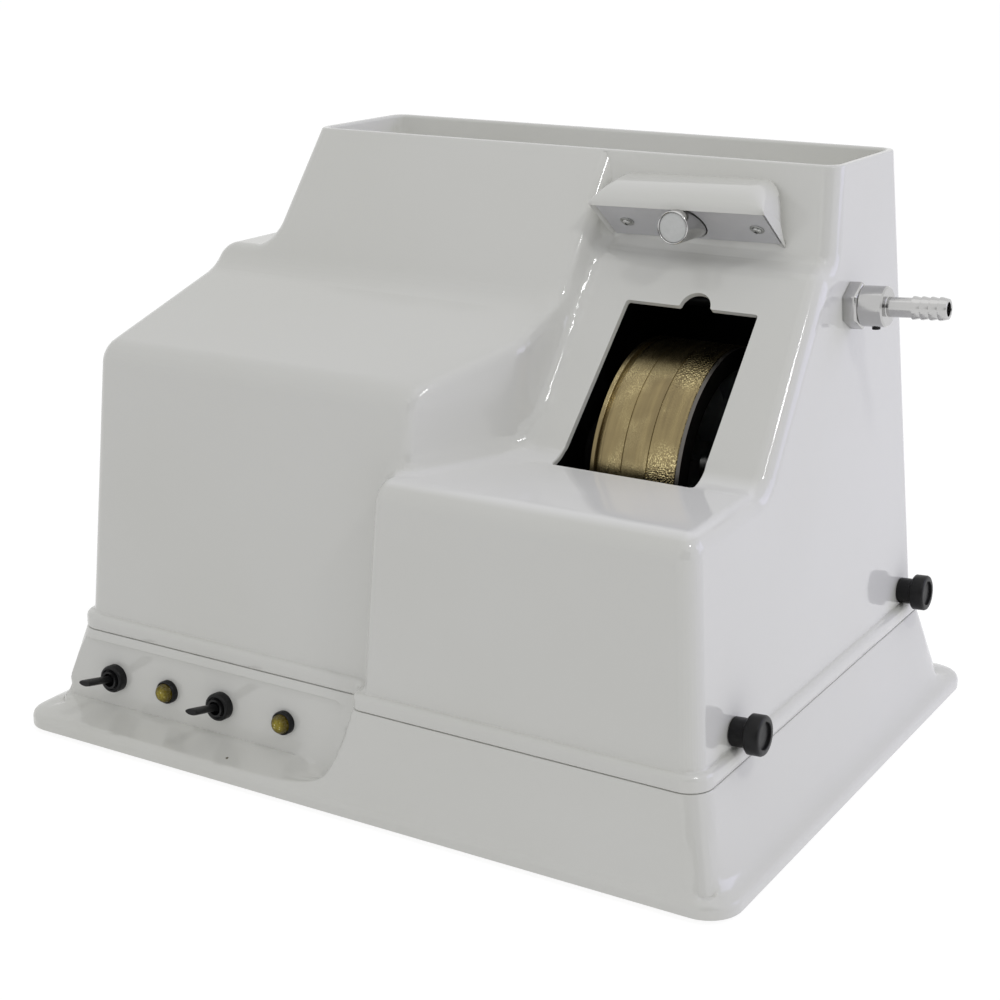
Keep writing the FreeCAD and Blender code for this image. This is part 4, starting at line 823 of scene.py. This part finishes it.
# Bright spots on facets near the top of each dome are painted highlights.
painted_spark = amber.between(facets, 0.30, 0.18) * amber.between(from_middle, 0.0042, 0.0022)
tint = amber.mix(darker_to_rim, amber.mix(facets, amber_light, amber_shade), amber_rim)
amber.set(
    Base_Color=amber.mix(painted_spark * 0.75, tint, painted_spark_colour),
    Roughness=0.08 + facets * 0.2,
    Normal=amber.bump(facets, 0.0009),
    Specular_IOR_Level=0.3,
)
bezel_rings = [(7.8, 0), (7.8, 3.5), (7.3, 4.3), (6.8, 4.5), (6.5, 4.2), (6.42, 3.6), (6.42, 0), (7.8, 0)]
dome_rings = [(6.35, 0.6), (6.35, 5.1), (6.0, 6.5), (5.0, 7.8), (3.5, 8.6), (1.8, 8.93), (0.5, 9.0)]
for side, x in (("left", -169.247), ("right", -72.747)):
    bezel = set_down(turned("pilot_bezel_" + side, bezel_rings, sides=64), (x, panel_y, panel_z), panel_normal)
    fitted(bezel, black_plastic, "machine", "pilot_lamp_bezels")
    dome = set_down(turned("pilot_dome_" + side, dome_rings, sides=48), (x, panel_y, panel_z), panel_normal)
    fitted(dome, amber, "machine", "pilot_lamp_lenses")
coat(black_plastic, "pilot_lamp_bodies")


# Wiring under the deck: a run capacitor in an aluminium can, held by a spring clip, a terminal block of
# moulded plastic, and the black gland through which the supply enters at the back.

coat(aluminium, "run_capacitor")
coat(zinc, "capacitor_clip")
coat(grey_plastic, "terminal_block")
coat(black_plastic, "cable_gland")


# Studio: white paper that runs out of sight under an even white sky, with a dark flag in front that shows
# only in reflections; a broad lamp overhead, a bluish one from the right and a small one for the glints.

def rays(finish, kind):
    """1 for rays of one kind, 0 for others."""
    return finish.node("ShaderNodeLightPath", {}, {}, "Is " + kind + " Ray")


floor_size = 80
shadow_colour, bounce_colour = (0.3, 0.3, 0.3), (0.8, 0.8, 0.8)
paper_glow, paper_lift = 0.85, 0.12
bpy.ops.object.select_all(action="DESELECT")
bpy.ops.mesh.primitive_plane_add(size=floor_size)
floor = bpy.context.object
floor.name = "studio_floor"
paper = Finish("studio_paper")
lit = paper.node("ShaderNodeAddShader", {}, {
    0: paper.node("ShaderNodeBsdfDiffuse", {}, {"Color": shadow_colour}),
    1: paper.node("ShaderNodeEmission", {}, {"Strength": paper_glow}),
})
lifted = paper.node("ShaderNodeAddShader", {}, {
    0: paper.node("ShaderNodeBsdfDiffuse", {}, {"Color": bounce_colour}),
    1: paper.node("ShaderNodeEmission", {}, {"Strength": paper_lift}),
})
direct = rays(paper, "Camera") + rays(paper, "Glossy") + rays(paper, "Transmission")
surface = paper.node("ShaderNodeMixShader", {}, {0: direct, 1: lifted, 2: lit})
paper.feed(paper.tree.nodes["Material Output"].inputs["Surface"], surface)
floor.data.materials.append(paper.material)


class Sky(Finish):
    """The world, with its nodes added in the same way."""

    def __init__(self, name):
        world = bpy.data.worlds.new(name)
        bpy.context.scene.world = world
        world.use_nodes = True
        self.tree = world.node_tree
        self.shader = self.tree.nodes["Background"]


sky_light, sky_seen = 0.535, 1.0
flag_direction, flag_edge, flag_share = Vector((0.55, -0.80, 0.22)).normalized(), (0.84, 0.93), 0.85
sky = Sky("studio")
direct = rays(sky, "Camera") + rays(sky, "Glossy") + rays(sky, "Transmission")
level = sky.node("ShaderNodeMapRange", {}, {"Value": direct, "To Min": sky_light, "To Max": sky_seen})
looking = sky.node("ShaderNodeTexCoord", {}, {}, "Generated")
to_flag = sky.node("ShaderNodeVectorMath", {"operation": "DOT_PRODUCT"},
                   {0: looking, 1: flag_direction}, "Value")
flag = sky.between(to_flag, *flag_edge) * flag_share * rays(sky, "Glossy")
sky.set(Color=(1, 1, 1), Strength=level - flag)


def softbox(name, place, target, size, power, colour):
    """A flat lamp at a place, turned to a target."""
    lamp = bpy.data.lights.new(name, "AREA")
    lamp.shape = "RECTANGLE"
    lamp.size, lamp.size_y = size
    lamp.energy = power
    lamp.color = colour
    holder = bpy.data.objects.new(name, lamp)
    holder.location = place
    holder.rotation_euler = (Vector(target) - Vector(place)).to_track_quat("-Z", "Y").to_euler()
    bpy.context.scene.collection.objects.link(holder)


white, bluish = (1, 1, 1), (0.66, 0.64, 1)
softbox("overhead_softbox", (0.1, -0.1, 2.2), (0, 0, 0.2), size=(1.6, 1.2), power=1.6, colour=white)
softbox("right_softbox", (1.9, 1.1, 0.9), (0, 0, 0.2), size=(1.2, 1.2), power=8.0, colour=bluish)
softbox("ceiling_lamp", (1.3, -0.55, 1.75), (0, 0, 0.25), size=(0.2, 0.2), power=3.0, colour=white)

camera = bpy.data.objects.new("camera", bpy.data.cameras.new("camera"))
camera.location = (0.63432, -1.07830, 0.54606)
camera.rotation_euler = (math.radians(72.45), 0, math.radians(31.19))
camera.data.sensor_width = 36
camera.data.lens = 69.44
bpy.context.scene.collection.objects.link(camera)
bpy.context.scene.camera = camera
bpy.context.scene.view_settings.view_transform = "Standard"
